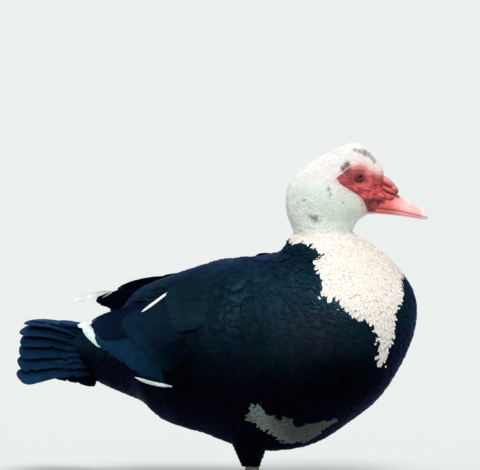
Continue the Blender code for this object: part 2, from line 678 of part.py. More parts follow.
def claws(leg, name, foot_node):
    made = []
    toes = [(turn, length, thin) for turn, length, _, thin in TOES.values()]
    toes.append((HALLUX["turn"], HALLUX["length"], HALLUX["radius"] * 0.8))
    for number, (turn, length, radius) in enumerate(toes, 1):
        root = toe_end(leg, turn, length - 0.001) + (0, 0, radius * 0.9)
        tip = toe_end(leg, turn, length + CLAW["length"]) + (0, 0, 0.0012)
        claw = taper(f"{name}_{number}", root, tip, min(CLAW["radius"], radius * 0.72), 0.0006,
                     sides=8, steps=3, drop=0.0016)
        claw = combined(claw, [swollen(foot_node, GAP)], "DIFFERENCE")
        claw.data.materials.clear()
        claw.data.materials.append(material("claw_horn"))
        made.append(claw)
    return made


def main():
    for old in list(bpy.data.objects):
        bpy.data.objects.remove(old)
    duck = bpy.data.collections.new("muscovy_duck")
    bpy.context.scene.collection.children.link(duck)
    torso_node, neck_node, head_node = torso(), neck(), head()
    tail_node = tail(torso_node)
    nodes = [torso_node, neck_node, head_node, tail_node]
    nodes += [eye(-1, "eye_right"), eye(1, "eye_left"), *bill(head_node)]
    nodes += [wing(-1, "wing_right", torso_node, tail_node), wing(1, "wing_left", torso_node, tail_node)]
    for name, leg in LEGS.items():
        thigh_node, foot_node = thigh(leg, f"thigh_{name}", torso_node), foot(leg, f"foot_{name}")
        nodes += [thigh_node, shank(leg, f"shank_{name}", thigh_node), foot_node,
                  *claws(leg, f"claw_{name}", foot_node)]
    for node in nodes:
        duck.objects.link(node)
        node.data.shade_smooth()
        node.data.set_sharp_from_angle(angle=math.radians(35))


main()
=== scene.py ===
import math

import bpy
import numpy as np
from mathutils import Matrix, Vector


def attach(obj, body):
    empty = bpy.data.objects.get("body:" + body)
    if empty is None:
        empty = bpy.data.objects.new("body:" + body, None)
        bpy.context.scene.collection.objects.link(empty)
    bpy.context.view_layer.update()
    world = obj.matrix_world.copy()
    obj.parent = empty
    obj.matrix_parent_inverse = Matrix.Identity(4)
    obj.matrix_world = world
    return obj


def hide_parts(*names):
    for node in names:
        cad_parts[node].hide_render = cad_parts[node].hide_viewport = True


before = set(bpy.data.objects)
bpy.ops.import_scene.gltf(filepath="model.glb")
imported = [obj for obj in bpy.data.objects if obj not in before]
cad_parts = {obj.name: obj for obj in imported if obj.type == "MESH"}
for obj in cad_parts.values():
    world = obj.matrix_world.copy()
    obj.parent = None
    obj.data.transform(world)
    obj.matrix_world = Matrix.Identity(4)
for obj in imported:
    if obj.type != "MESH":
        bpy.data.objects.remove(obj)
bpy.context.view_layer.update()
chance = np.random.default_rng(29)

body = {
    "neckX": 0.140,  # the head turns about this upright line
    "headTurn": math.radians(25),
    # back x, back z, under x, under z, half width, fullness below, share of the head's turn
    "sections": [
        (-0.156, 0.188, -0.156, 0.1245, 0.034, 0.00, 0), (-0.129, 0.204, -0.127, 0.113, 0.049, 0.00, 0),
        (-0.094, 0.223, -0.084, 0.0988, 0.066, 0.02, 0), (-0.055, 0.240, -0.055, 0.079, 0.083, 0.05, 0),
        (-0.012, 0.256, -0.008, 0.068, 0.094, 0.08, 0), (0.030, 0.268, 0.030, 0.056, 0.100, 0.08, 0),
        (0.060, 0.276, 0.072, 0.051, 0.102, 0.06, 0), (0.079, 0.281, 0.118, 0.060, 0.101, 0.04, 0),
        (0.087, 0.285, 0.158, 0.084, 0.099, 0.04, 0), (0.090, 0.288, 0.1935, 0.1115, 0.096, 0.06, 0),
        (0.092, 0.291, 0.2200, 0.1490, 0.092, 0.08, 0), (0.0935, 0.294, 0.2375, 0.1890, 0.086, 0.10, 0),
        (0.0945, 0.297, 0.2405, 0.2240, 0.077, 0.10, 0), (0.0965, 0.297, 0.2285, 0.2515, 0.066, 0.08, 0),
        (0.0985, 0.3010, 0.2100, 0.2755, 0.0535, 0.04, 0.2),
        (0.1000, 0.3055, 0.1880, 0.2920, 0.0430, 0.02, 0.5),
        (0.0975, 0.3120, 0.1685, 0.3040, 0.0370, 0.00, 0.8),
        (0.0925, 0.3260, 0.1695, 0.3120, 0.0355, 0.00, 1),
        (0.0912, 0.3430, 0.1740, 0.3185, 0.0365, 0.00, 1), (0.0945, 0.3605, 0.1785, 0.3220, 0.0370, 0.02, 1),
        (0.1055, 0.3750, 0.1815, 0.3240, 0.0365, 0.04, 1), (0.1220, 0.3865, 0.1835, 0.3255, 0.0345, 0.06, 1),
        (0.1435, 0.3980, 0.1860, 0.3260, 0.0315, 0.04, 1), (0.1655, 0.4072, 0.1885, 0.3262, 0.0280, 0.02, 1),
        (0.1815, 0.4030, 0.1905, 0.3263, 0.0250, 0.00, 1), (0.1945, 0.3935, 0.1930, 0.3263, 0.0215, 0.00, 1),
        (0.2005, 0.3840, 0.1955, 0.3264, 0.0180, 0.00, 1), (0.2035, 0.3740, 0.1980, 0.3265, 0.0150, 0.00, 1),
    ],
}
lastSection = len(body["sections"]) - 1


def smoothRows(table, at):
    # Catmull-Rom curve: row = b + t/2 (c-a + t (2a-5b+4c-d + t (3(b-c)+d-a)))
    table = np.asarray(table, float)
    padded = np.vstack([2 * table[0] - table[1], table, 2 * table[-1] - table[-2]])
    at = np.clip(np.asarray(at, float), 0, len(table) - 1)
    low = np.minimum(at.astype(int), len(table) - 2)
    t = (at - low)[..., None]
    a, b, c, d = (padded[low + k] for k in range(4))
    return b + 0.5 * t * (c - a + t * (2 * a - 5 * b + 4 * c - d + t * (3 * (b - c) + d - a)))


def unit(v):
    # every vector divided by its length
    return v / np.maximum(np.linalg.norm(v, axis=-1, keepdims=True), 1e-12)


def ease(a, b, x):
    # smooth step t t (3 - 2 t), 0 at a and 1 at b, with a > b for a step down
    t = np.clip((x - a) / (b - a), 0, 1)
    return t * t * (3 - 2 * t)


def bell(x, z, cx, cz, wide, high):
    # exp(-distance squared), the distance counted in half lengths and half heights
    return np.exp(-((x - cx) / wide) ** 2 - ((z - cz) / high) ** 2)


def spot(x, z, cx, cz, size):
    # the same in a round spot
    return np.exp(-((x - cx) ** 2 + (z - cz) ** 2) / size ** 2)


def mixed(tone, other, share):
    # tone + (other - tone) share, one share for every point
    return tone + (other - tone) * share[..., None]


def together(*arrays):
    # arrays brought to one shape and laid side by side in a last axis
    return np.stack(np.broadcast_arrays(*arrays), -1)


def circle(count):
    # angles at equal steps round one turn
    return np.linspace(0, 2 * math.pi, count, endpoint=False)


def upBy(height):
    # vectors that only rise
    return np.stack([0 * height, 0 * height, height], -1)


def turned(points, share=1.0):
    # x' = neckX + (x-neckX) cos - y sin, y' = (x-neckX) sin + y cos
    points = np.array(points, float)
    angle = body["headTurn"] * np.asarray(share, float)
    x, y = points[..., 0] - body["neckX"], points[..., 1].copy()
    points[..., 0] = body["neckX"] + x * np.cos(angle) - y * np.sin(angle)
    points[..., 1] = x * np.sin(angle) + y * np.cos(angle)
    return points


def bodyPoint(at, angle, turn=True):
    # centre + half cos(angle), and width sin(angle) (1 - fullness cos(angle)) sideways
    at, angle = np.broadcast_arrays(np.asarray(at, float), np.asarray(angle, float))
    row = np.moveaxis(smoothRows(body["sections"], at), -1, 0)
    c, s = np.cos(angle), np.sin(angle)
    x = (row[0] + row[2]) / 2 + (row[0] - row[2]) / 2 * c
    z = (row[1] + row[3]) / 2 + (row[1] - row[3]) / 2 * c
    points = np.stack([x, row[4] * s * (1 - row[5] * c), z], -1)
    return turned(points, row[6]) if turn else points


def bodyFrame(at, angle):
    # place, outward normal and the unit vector towards the tail, from small differences
    small = 1e-3
    here = bodyPoint(at, angle)
    low = np.clip(at, small, lastSection - small)
    back = unit(bodyPoint(low - small, angle) - bodyPoint(low + small, angle))
    over = bodyPoint(low, angle + small) - bodyPoint(low, angle - small)
    return here, unit(np.cross(over, back)), back


def volumeOf(points, faces):
    # sum of a . (b x c) / 6 over the triangles that fan out from each face's first corner
    total = 0.0
    for k in range(1, faces.shape[1] - 1):
        a, b, c = (points[faces[:, j]].astype(float) for j in (0, k, k + 1))
        total += np.einsum("ij,ij->", a, np.cross(b, c)) / 6
    return total


def makeMesh(name, points, quads, material, caps=None, attributes=None, bakeUv=None, sharpRing=None):
    # arrays straight into the mesh: points (n,3), quads (m,4), caps (c,r), per-point attributes
    mesh = bpy.data.meshes.new(name)
    points = np.ascontiguousarray(points, np.float32).reshape(-1, 3)
    faces = [np.asarray(quads)] + ([] if caps is None else [np.asarray(caps)])
    if sum(volumeOf(points, kind) for kind in faces) < 0:  # they point inward
        faces = [kind[:, ::-1] for kind in faces]
    loops = np.concatenate([kind.astype(np.int32).ravel() for kind in faces])
    sizes = np.concatenate([np.full(len(kind), kind.shape[1], np.int32) for kind in faces])
    starts = np.concatenate([[0], np.cumsum(sizes)[:-1]]).astype(np.int32)
    mesh.vertices.add(len(points))
    mesh.vertices.foreach_set("co", points.ravel())
    mesh.loops.add(len(loops))
    mesh.loops.foreach_set("vertex_index", loops)
    mesh.polygons.add(len(sizes))
    mesh.polygons.foreach_set("loop_start", starts)
    mesh.polygons.foreach_set("use_smooth", np.ones(len(sizes), bool))
    mesh.update(calc_edges=True)
    for key, values in (attributes or {}).items():
        values = np.asarray(values, np.float32).reshape(len(points), -1)
        if key == "tone":
            values = np.hstack([values, np.ones((len(values), 1), np.float32)])
            mesh.attributes.new(key, "FLOAT_COLOR", "POINT").data.foreach_set("color", values.ravel())
        else:
            mesh.attributes.new(key, "FLOAT_VECTOR", "POINT").data.foreach_set("vector", values.ravel())
    if bakeUv is not None:
        layer = mesh.uv_layers.new(name="OFBake")
        layer.data.foreach_set("uv", np.asarray(bakeUv, np.float32).reshape(-1, 2)[loops].ravel())
    if sharpRing:
        ring, other = sharpRing  # sharp edges join the same column, 0 or other, of two rings
        ends = np.empty(2 * len(mesh.edges), np.int32)
        mesh.edges.foreach_get("vertices", ends)
        place = ends.reshape(-1, 2) % ring
        sharp = (place[:, 0] == place[:, 1]) & ((place[:, 0] == 0) | (place[:, 0] == other))
        mesh.edges.foreach_set("use_edge_sharp", sharp)
    mesh.materials.append(material)
    made = bpy.data.objects.new(name, mesh)
    bpy.context.scene.collection.objects.link(made)
    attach(made, "root")
    return made


def gridQuads(rows, columns):
    # corners of the quads between neighbouring rows, with the last column joined to the first
    i, j = np.meshgrid(np.arange(rows - 1), np.arange(columns), indexing="ij")
    n = (j + 1) % columns
    quads = [i * columns + j, i * columns + n, (i + 1) * columns + n, (i + 1) * columns + j]
    return np.stack(quads, -1).reshape(-1, 4)


def stripFaces(count, rows, ring):
    # side quads and end caps of many tubes that lie one after another in the point list
    start = (np.arange(count) * rows * ring)[:, None]
    quads = (start[:, :, None] + gridQuads(rows, ring)[None]).reshape(-1, 4)
    first = start + np.arange(ring)[::-1][None]
    last = start + (rows - 1) * ring + np.arange(ring)[None]
    return quads, np.vstack([first, last])


def makeTube(name, rings, kind, tone, slotName, *nodes):
    # one closed tube from rings (rows, ring, 3), or many from (count, rows, ring, 3)
    count = len(rings) if rings.ndim == 4 else 1
    quads, caps = stripFaces(count, *rings.shape[-3:-1])
    made = makeMesh(name, rings, quads, finish[kind], caps, {"tone": tone})
    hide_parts(*nodes)


def makeFeathers(name, rings, kind, tone, barbPlace, uv, rim, *nodes):
    # many closed feathers, with barb coordinates, a UV map and sharp rims at columns 0 and rim of each ring
    count, rows, ring = rings.shape[:3]
    quads, caps = stripFaces(count, rows, ring)
    attributes = {"tone": tone, "vane": barbPlace}
    made = makeMesh(name, rings, quads, finish[kind], caps, attributes, uv, (ring, rim))
    if nodes:
        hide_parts(*nodes)


def newMaterial(name, **sockets):
    # a Principled material, each keyword a socket's name with _ for a space
    made = bpy.data.materials.new(name)
    made.use_nodes = True
    shader = made.node_tree.nodes["Principled BSDF"]
    for key, value in sockets.items():
        shader.inputs[key.replace("_", " ")].default_value = value
    return made, made.node_tree, shader


def addNode(tree, kind, inputs=None, **settings):
    # a node with its settings, its inputs linked or given a value
    node = tree.nodes.new(kind)
    for key, value in settings.items():
        setattr(node, key, value)
    for key, value in (inputs or {}).items():
        if isinstance(value, bpy.types.NodeSocket):
            tree.links.new(value, node.inputs[key])
        else:
            node.inputs[key].default_value = value
    return node


def math2(tree, operation, a, b=0.0):
    # a Math node of two inputs
    return addNode(tree, "ShaderNodeMath", {0: a, 1: b}, operation=operation).outputs[0]


def objectPlace(tree):
    # Object coordinates, which keep a pattern in its place on the piece
    return addNode(tree, "ShaderNodeTexCoord").outputs["Object"]


def noiseOf(tree, scale, detail):
    # uneven grey, mostly 0.3 to 0.7
    inputs = {"Vector": objectPlace(tree), "Scale": scale, "Detail": detail, "Roughness": 0.6}
    return addNode(tree, "ShaderNodeTexNoise", inputs).outputs["Fac"]


def ranged(tree, value, low, high, toLow, toHigh):
    # low..high carried in a straight line to toLow..toHigh and held there beyond
    inputs = {0: value, 1: low, 2: high, 3: toLow, 4: toHigh}
    return addNode(tree, "ShaderNodeMapRange", inputs).outputs[0]


def toneTimes(tree, shader, amount):
    # base colour = painted tone x a grey amount
    tone = addNode(tree, "ShaderNodeAttribute", attribute_name="tone").outputs["Color"]
    grey = addNode(tree, "ShaderNodeCombineColor", {0: amount, 1: amount, 2: amount}).outputs[0]
    mix = addNode(tree, "ShaderNodeMix", {"Factor": 1.0}, data_type="RGBA", blend_type="MULTIPLY")
    tree.links.new(tone, mix.inputs[6])
    tree.links.new(grey, mix.inputs[7])
    tree.links.new(mix.outputs[2], shader.inputs["Base Color"])


def bumpFrom(tree, shader, height, distance):
    # height 1 stands out by the distance
    bump = addNode(tree, "ShaderNodeBump", {"Height": height, "Distance": distance, "Strength": 1.0})
    tree.links.new(bump.outputs[0], shader.inputs["Normal"])


barbs = {
    "slant": 0.8,  # metres back for each metre away from the shaft
    "uneven": 1.6, "unevenScale": 420,  # wander of the barbs, in barbs
    # half widths of the shaft's ridge at its top and foot, heights in reliefs
    "shaft": (0.0001, 0.0006), "shaftHeight": 1.6, "waveHeight": 0.5,
    "light": 1.04, "mottle": 0.8, "mottleScale": 95,
}


def plumage(name, barb, relief, contrast, **sockets):
    # barbs slant from the shaft, a narrow ridge at the middle: wave = sin((along - slant |across|) 2 pi / barb)
    made, tree, shader = newMaterial(name, **sockets)
    vaneSocket = addNode(tree, "ShaderNodeAttribute", attribute_name="vane").outputs["Vector"]
    along, across, _ = addNode(tree, "ShaderNodeSeparateXYZ", {0: vaneSocket}).outputs
    side = math2(tree, "ABSOLUTE", across)
    slant = math2(tree, "SUBTRACT", along, math2(tree, "MULTIPLY", side, barbs["slant"]))
    uneven = math2(tree, "MULTIPLY", noiseOf(tree, barbs["unevenScale"], 2.0), barb * barbs["uneven"])
    phase = math2(tree, "MULTIPLY", math2(tree, "ADD", slant, uneven), 2 * math.pi / barb)
    wave = math2(tree, "SINE", phase)
    shaft = ranged(tree, side, *barbs["shaft"], 1.0, 0.0)
    ridge = math2(tree, "MULTIPLY", shaft, barbs["shaftHeight"])
    height = math2(tree, "ADD", math2(tree, "MULTIPLY", wave, barbs["waveHeight"]), ridge)
    bumpFrom(tree, shader, height, relief)
    lines = ranged(tree, wave, -1, 1, barbs["light"] - contrast, barbs["light"])
    deep = barbs["mottle"] * contrast
    mottle = ranged(tree, noiseOf(tree, barbs["mottleScale"], 4), 0.3, 0.7, -deep, deep)
    toneTimes(tree, shader, math2(tree, "ADD", lines, mottle))
    return made


grain = {
    "fineScale": 2.5, "fineHeight": 0.6, "cellEdge": 0.6,  # scale and height in pebbles, end of a pebble's slope
    "cellShade": (1.06, 0.84), "fineShade": 0.10, "gloss": (-0.08, 0.10),
}


def skinMaterial(name, pebble, depth, **sockets):
    # height = cone in every cell + fine noise, darker between the cells as painted shade in the grooves, glossier
    # where the noise is low
    made, tree, shader = newMaterial(name, **sockets)
    inputs = {"Vector": objectPlace(tree), "Scale": pebble}
    cells = addNode(tree, "ShaderNodeTexVoronoi", inputs).outputs["Distance"]
    fine = noiseOf(tree, pebble * grain["fineScale"], 4)
    cone = ranged(tree, cells, 0, grain["cellEdge"], 1, 0)
    bumpFrom(tree, shader, math2(tree, "ADD", cone, math2(tree, "MULTIPLY", fine, grain["fineHeight"])), depth)
    fineShade = ranged(tree, fine, 0.3, 0.7, -grain["fineShade"], grain["fineShade"])
    # painted shade between the cells
    toneTimes(tree, shader, math2(tree, "ADD", ranged(tree, cells, 0.1, 0.7, *grain["cellShade"]), fineShade))
    smooth, dull = (sockets["Roughness"] + change for change in grain["gloss"])
    tree.links.new(ranged(tree, fine, 0.3, 0.7, smooth, dull), shader.inputs["Roughness"])
    return made


finish = {
    # name, metres between barbs, relief in metres, contrast
    "dark": plumage("blackFeather", 0.0011, 0.00004, 0.20, Roughness=0.42, Metallic=0.80,
                    Specular_IOR_Level=0.05, Specular_Tint=(0.25, 0.42, 0.60, 1)),
    "pale": plumage("whiteFeather", 0.0010, 0.00002, 0.06, Roughness=0.80, Metallic=0.0,
                    Specular_IOR_Level=0.20, Sheen_Weight=0.15, Sheen_Roughness=0.6,
                    Subsurface_Weight=0.50, Subsurface_Scale=0.0028, Subsurface_Radius=(1.0, 0.95, 0.9)),
    "whiteVane": plumage("whiteVane", 0.0012, 0.00007, 0.20, Roughness=0.75, Metallic=0.0,
                         Specular_IOR_Level=0.2, Subsurface_Weight=0.2, Subsurface_Scale=0.002),
    # name, pebbles to a metre, relief in metres
    "skin": skinMaterial("bodySkin", 900, 0.0002, Roughness=0.55, Specular_IOR_Level=0.4),
    "flesh": skinMaterial("redFlesh", 1300, 0.00018, Roughness=0.50, Specular_IOR_Level=0.22,
                          Subsurface_Weight=0.12, Subsurface_Scale=0.003, Coat_Weight=0.05, Coat_Roughness=0.3),
    "bill": skinMaterial("billHorn", 420, 0.00007, Roughness=0.36, Specular_IOR_Level=0.5,
                         Subsurface_Weight=0.15, Subsurface_Scale=0.004, Coat_Weight=0.12, Coat_Roughness=0.25),
    "leg": skinMaterial("scaledLeg", 700, 0.00025, Roughness=0.48, Specular_IOR_Level=0.45),
    "claw": skinMaterial("clawHorn", 500, 0.00008, Roughness=0.34, Specular_IOR_Level=0.5),
    "eye": skinMaterial("eyeGloss", 1500, 0.000001, Roughness=0.12, Specular_IOR_Level=0.1,
                        Coat_Weight=0.12, Coat_Roughness=0.03),
}
print("materials made")

colour = {
    "white": (0.885, 0.862, 0.838), "cream": (0.925, 0.865, 0.785), "blush": (0.80, 0.42, 0.40),
    "greenShade": (0.68, 0.88, 0.70), "fleck": (0.06, 0.085, 0.075), "dusk": (0.070, 0.014, 0.022),
    "whiteVane": (0.62, 0.70, 0.70),
    "teal": (0.007, 0.029, 0.040), "blue": (0.005, 0.017, 0.036), "shoulderSheen": (0.011, 0.017, 0.026),
    "black": (0.0004, 0.0009, 0.0024), "violet": (0.0009, 0.0009, 0.0030), "tail": (0.007, 0.034, 0.084),
    "greyTip": (0.12, 0.11, 0.17),
    "red": (0.40, 0.020, 0.030), "pink": (0.72, 0.20, 0.21), "deepRed": (0.13, 0.008, 0.012),
    "lid": (0.42, 0.075, 0.055), "pupil": (0.004, 0.003, 0.003), "iris": (0.075, 0.026, 0.010),
    "eyeRim": (0.02, 0.010, 0.008),
    "billPink": (0.86, 0.36, 0.35), "base": (0.55, 0.075, 0.070), "billPale": (0.88, 0.62, 0.60),
    "nail": (0.70, 0.68, 0.66),
    "leg": (0.060, 0.058, 0.045), "web": (0.040, 0.038, 0.032), "claw": (0.10, 0.085, 0.070),
}
colour = {key: np.array(value) for key, value in colour.items()}

marks = {
    # white bib and collar: place along the body and angle from the back, 0 to 360, the right side above 180
    "bib": [(40, 380), (12.1, 380), (11.9, 352), (12.7, 328), (12.75, 317), (13.6, 312), (13.85, 303),
            (13.8, 284), (13.6, 273), (13.25, 276), (12.65, 280), (12.0, 278), (11.75, 271), (11.3, 268),
            (10.75, 268), (10.95, 262), (11.1, 252), (11.15, 244), (11.0, 238), (11.05, 230),
            (10.95, 220), (10.8, 213), (10.6, 208), (10.25, 206), (10.0, 199), (10.1, 192), (10.5, 196),
            (10.85, 196), (11.35, 198), (11.7, 197), (12.05, 192), (12.45, 182), (12.7, 178), (13.0, 167),
            (13.0, 140), (12.5, 110), (12.3, 90), (12.9, 70), (13.7, 45), (13.6, 25), (12.0, 0),
            (12.1, -20), (40, -20)],
    # white of the belly: place and angle from the back on either side
    "belly": [(6.26, 118), (6.46, 116), (6.61, 119), (6.68, 124), (6.78, 128), (6.80, 133), (7.08, 132),
              (7.28, 135), (7.25, 142), (7.38, 147), (7.63, 150), (7.83, 153), (7.95, 158), (8.28, 162),
              (8.03, 166), (7.66, 166), (7.26, 169), (6.98, 165), (6.72, 160), (6.60, 152), (6.52, 144),
              (6.40, 138), (6.25, 133), (6.06, 130), (6.06, 126), (6.21, 122)],
    "face": [(0.1482, 0.3702), (0.1547, 0.3757), (0.1640, 0.3822), (0.1736, 0.3862), (0.1820, 0.3852),
             (0.1880, 0.3795), (0.1938, 0.3762), (0.2030, 0.3735), (0.2080, 0.3735), (0.2120, 0.3250),
             (0.1850, 0.3290), (0.1822, 0.3370), (0.1788, 0.3455), (0.1707, 0.3522), (0.1593, 0.3590),
             (0.1530, 0.3634)],
    # dark flecks on the head seen from the side: x, z, size
    "flecks": [(0.1700, 0.4014, 0.0026), (0.1755, 0.3998, 0.0030), (0.1815, 0.3978, 0.0032),
               (0.1866, 0.3946, 0.0030), (0.1903, 0.3908, 0.0028), (0.1926, 0.3872, 0.0024),
               (0.1612, 0.3850, 0.0036), (0.1566, 0.3800, 0.0032), (0.1400, 0.3572, 0.0026),
               (0.1421, 0.3514, 0.0020), (0.1180, 0.3260, 0.0030), (0.1245, 0.3236, 0.0038),
               (0.1560, 0.3420, 0.0016), (0.1120, 0.3450, 0.0022), (0.1795, 0.3390, 0.0026)],
    # painted highlights and painted shade on the dark plumage, seen from the side: x, z, half length, half height,
    # factor
    "gloss": [(-0.002, 0.164, 0.036, 0.030, 0.13), (0.060, 0.255, 0.050, 0.018, 1.10),
              (0.012, 0.222, 0.038, 0.024, 0.50), (-0.072, 0.164, 0.026, 0.014, 1.25),
              (0.060, 0.228, 0.026, 0.026, 0.48), (0.087, 0.198, 0.030, 0.024, 0.62),
              (0.190, 0.150, 0.034, 0.034, 0.25), (-0.142, 0.168, 0.030, 0.036, 2.4),
              (-0.070, 0.108, 0.050, 0.024, 0.3)],
    "shoulderSheen": (0.158, 0.205, 0.042, 0.030, 0.85),  # painted grey highlight on the shoulder, as above with its share
}


def wobble(*values):
    # repeatable noise, about -1..1: sum of sin(rate phase + offset + a slower sine) / (1 + k)
    total = 0
    for k, (rate, offset) in enumerate(((1.0, 0.0), (1.9, 1.3), (3.7, 4.1), (7.3, 2.2))):
        phase = sum(v * (1 + 0.37 * n) for n, v in enumerate(values))
        bend = 1.7 * np.sin(rate * (values[0] * 0.7 - values[-1] * 1.1) + offset)
        total = total + np.sin(rate * phase + offset + bend) / (1 + k)
    return total / 2.08  # 1 + 1/2 + 1/3 + 1/4


def lineDistance(corners, x, z):
    # shortest distance to the segments from corner to corner
    nearest = np.full(np.shape(x), 1e9)
    for (ax, az), (bx, bz) in zip(corners[:-1], corners[1:]):
        dx, dz = bx - ax, bz - az
        t = np.clip(((x - ax) * dx + (z - az) * dz) / (dx * dx + dz * dz), 0, 1)
        nearest = np.minimum(nearest, np.hypot(x - ax - t * dx, z - az - t * dz))
    return nearest


def polygonDistance(corners, x, z):
    # distance to the outline, positive inside: a level line from the place crosses it an odd number of times
    corners = np.asarray(corners, float)
    x, z = np.broadcast_arrays(x, z)
    inside = np.zeros(np.shape(x), bool)
    for (ax, az), (bx, bz) in zip(corners, np.roll(corners, -1, 0)):
        dx, dz = bx - ax, bz - az
        inside ^= ((az > z) != (bz > z)) & (x < dx * (z - az) / (dz if dz else 1e-12) + ax)
    nearest = lineDistance(np.vstack([corners, corners[:1]]), x, z)
    return np.where(inside, nearest, -nearest)


patchEdge = {
    "degrees": 12,  # so much of the way round the body counts as one section of its length
    "jags": [(0.10, 0.55, 0.9), (0.09, 2.3, 3.1)],  # depth, rate round the body, rate along it
    "calmFrom": 15.5, "calmTo": 13.5, "bellyJags": 0.4,
}


def whiteness(at, angle):
    # signed distance inside either white patch, in sections, plus jags
    degrees = np.degrees(angle)
    around, size = degrees % 360, patchEdge["degrees"]
    fromBack = np.abs(around - 360 * (around > 180))
    jag = sum(depth * wobble(degrees * rate, at * rateAlong) for depth, rate, rateAlong in patchEdge["jags"])
    bib, belly = np.array(marks["bib"]) / (1, size), np.array(marks["belly"]) / (1, size)
    calm = ease(patchEdge["calmFrom"], patchEdge["calmTo"], at)
    inBib = polygonDistance(bib, at, around / size) + jag * calm
    inBelly = polygonDistance(belly, at, fromBack / size) + patchEdge["bellyJags"] * jag
    return np.maximum(inBib, inBelly)


def paintedLightAt(x, z):
    # product of 1 + (factor - 1) bell over the places of painted highlight and painted shade
    amount = np.ones(np.broadcast_shapes(np.shape(x), np.shape(z)))
    for gx, gz, wide, high, factor in marks["gloss"]:
        amount = amount * (1 + (factor - 1) * bell(x, z, gx, gz, wide, high))
    return amount


dark = {
    # heights over which the near black of the belly gives way to the colours of the back: partly the plumage's own
    # colours, partly painted shade below and painted light above
    "rise": (0.128, 0.250),
    "patch": (38, 30, 44), "patchShare": 0.7, "seedShare": 0.3, "light": (0.82, 0.36),
}


def darkTone(place, seed):
    # teal over the back and wings, blue on the sides, near black below, partly painted light from above and
    # painted shade below, times the painted highlights and shade
    x, y, z = np.moveaxis(place, -1, 0)
    patch = 0.5 + 0.5 * wobble(*(v * rate for v, rate in zip((x, y, z), dark["patch"])))
    mix = np.clip(patch * dark["patchShare"] + dark["seedShare"] * seed, 0, 1)[..., None]
    upper = colour["teal"] * mix + colour["blue"] * (1 - mix)
    lower = colour["black"] * mix + colour["violet"] * (1 - mix)
    tone = mixed(lower, upper, ease(*dark["rise"], z)) * paintedLightAt(x, z)[..., None]
    # a painted grey highlight on the shoulder
    *shoulder, share = marks["shoulderSheen"]
    tone = mixed(tone, colour["shoulderSheen"], share * bell(x, z, *shoulder))
    return tone * (dark["light"][0] + dark["light"][1] * seed[..., None])


pale = {
    "headFrom": 15.5, "bellyTo": 9.0, "flecksFrom": 16, "faceFrom": 19,  # sections
    # greenish-grey painted shade low on the back of the head: heights, x and sections over which it fades, and its
    # share
    "greenShadeHeight": (0.378, 0.345), "greenShadeBehind": (0.190, 0.165), "greenShadeSections": (15.4, 17.5), "greenShadeShare": 0.85,
    "largeFleck": 0.0031, "largeGain": 1.7,
    # the white of the belly dimmed and tinted as painted shade: its tint, the sections over which it fades, its
    # rear edge
    "bellyShadeTint": (0.66, 1.05, 0.98), "bellyFade": (6.4, 7.2), "bellyEdge": (6.2, 6.5),
    "blush": 0.75, "blushReach": 0.0042,
    "ruddy": (0.1590, 0.3825, 0.0085),  # x, z, size of the spot of red flecks
}


def paleTone(place, at, seed, sideX, share=1.0):
    # cream bib, white crown, greenish-grey painted shade on the lower back of the head, a belly dimmed by painted
    # shade, dark tips on some feathers
    x, y, z = np.moveaxis(place, -1, 0)
    onHead = (at > pale["headFrom"])[..., None]
    tone = np.where(onHead, colour["white"], colour["cream"]) * (0.96 + 0.04 * seed[..., None])
    # greenish-grey painted shade, mottled, low on the back of the head
    low = ease(*pale["greenShadeHeight"], z) * ease(*pale["greenShadeBehind"], sideX) * ease(*pale["greenShadeSections"], at)
    mottle = np.clip(0.62 + 0.60 * wobble(x * 260, y * 180, z * 300) + 0.3 * (seed - 0.5), 0, 1)
    tone = mixed(tone, colour["greenShade"], pale["greenShadeShare"] * low * mottle)
    # painted shade: the white of the belly dimmed to a dull grey-green, darkest towards the front and at its rear
    # edge
    bellyShade = (0.165 - 0.132 * ease(*pale["bellyFade"], at)) * (0.45 + 0.55 * ease(*pale["bellyEdge"], at))
    onBelly = (at < pale["bellyTo"])[..., None]
    tone = tone * np.where(onBelly, np.array(pale["bellyShadeTint"]) * bellyShade[..., None], 1.0)
    blush = np.exp(np.minimum(faceDepth(sideX, z, at), 0) / pale["blushReach"])
    tone = mixed(tone, colour["blush"], pale["blush"] * blush * (at > pale["faceFrom"]))
    near = sum(spot(sideX, z, fx, fz, size) * (pale["largeGain"] if size > pale["largeFleck"] else 1.0)
               for fx, fz, size in marks["flecks"])
    streak = ease(0.15, 0.85, near + 0.20 * wobble(x * 500, y * 300, z * 400))
    peppered = low * (seed > 0.93) * (0.08 + 0.26 * ease(0.0, 0.8, wobble(x * 190, y * 150, z * 210)))
    amount = (streak * (0.62 + 0.34 * ease(0.8, 1.6, near)) + peppered) * (at > pale["flecksFrom"])
    tips = ease(0.2, 0.8, np.asarray(share, float))
    fleck = mixed(colour["fleck"], colour["dusk"], spot(sideX, z, *pale["ruddy"]))
    return mixed(tone, fleck, np.clip(amount, 0, 0.9) * tips)


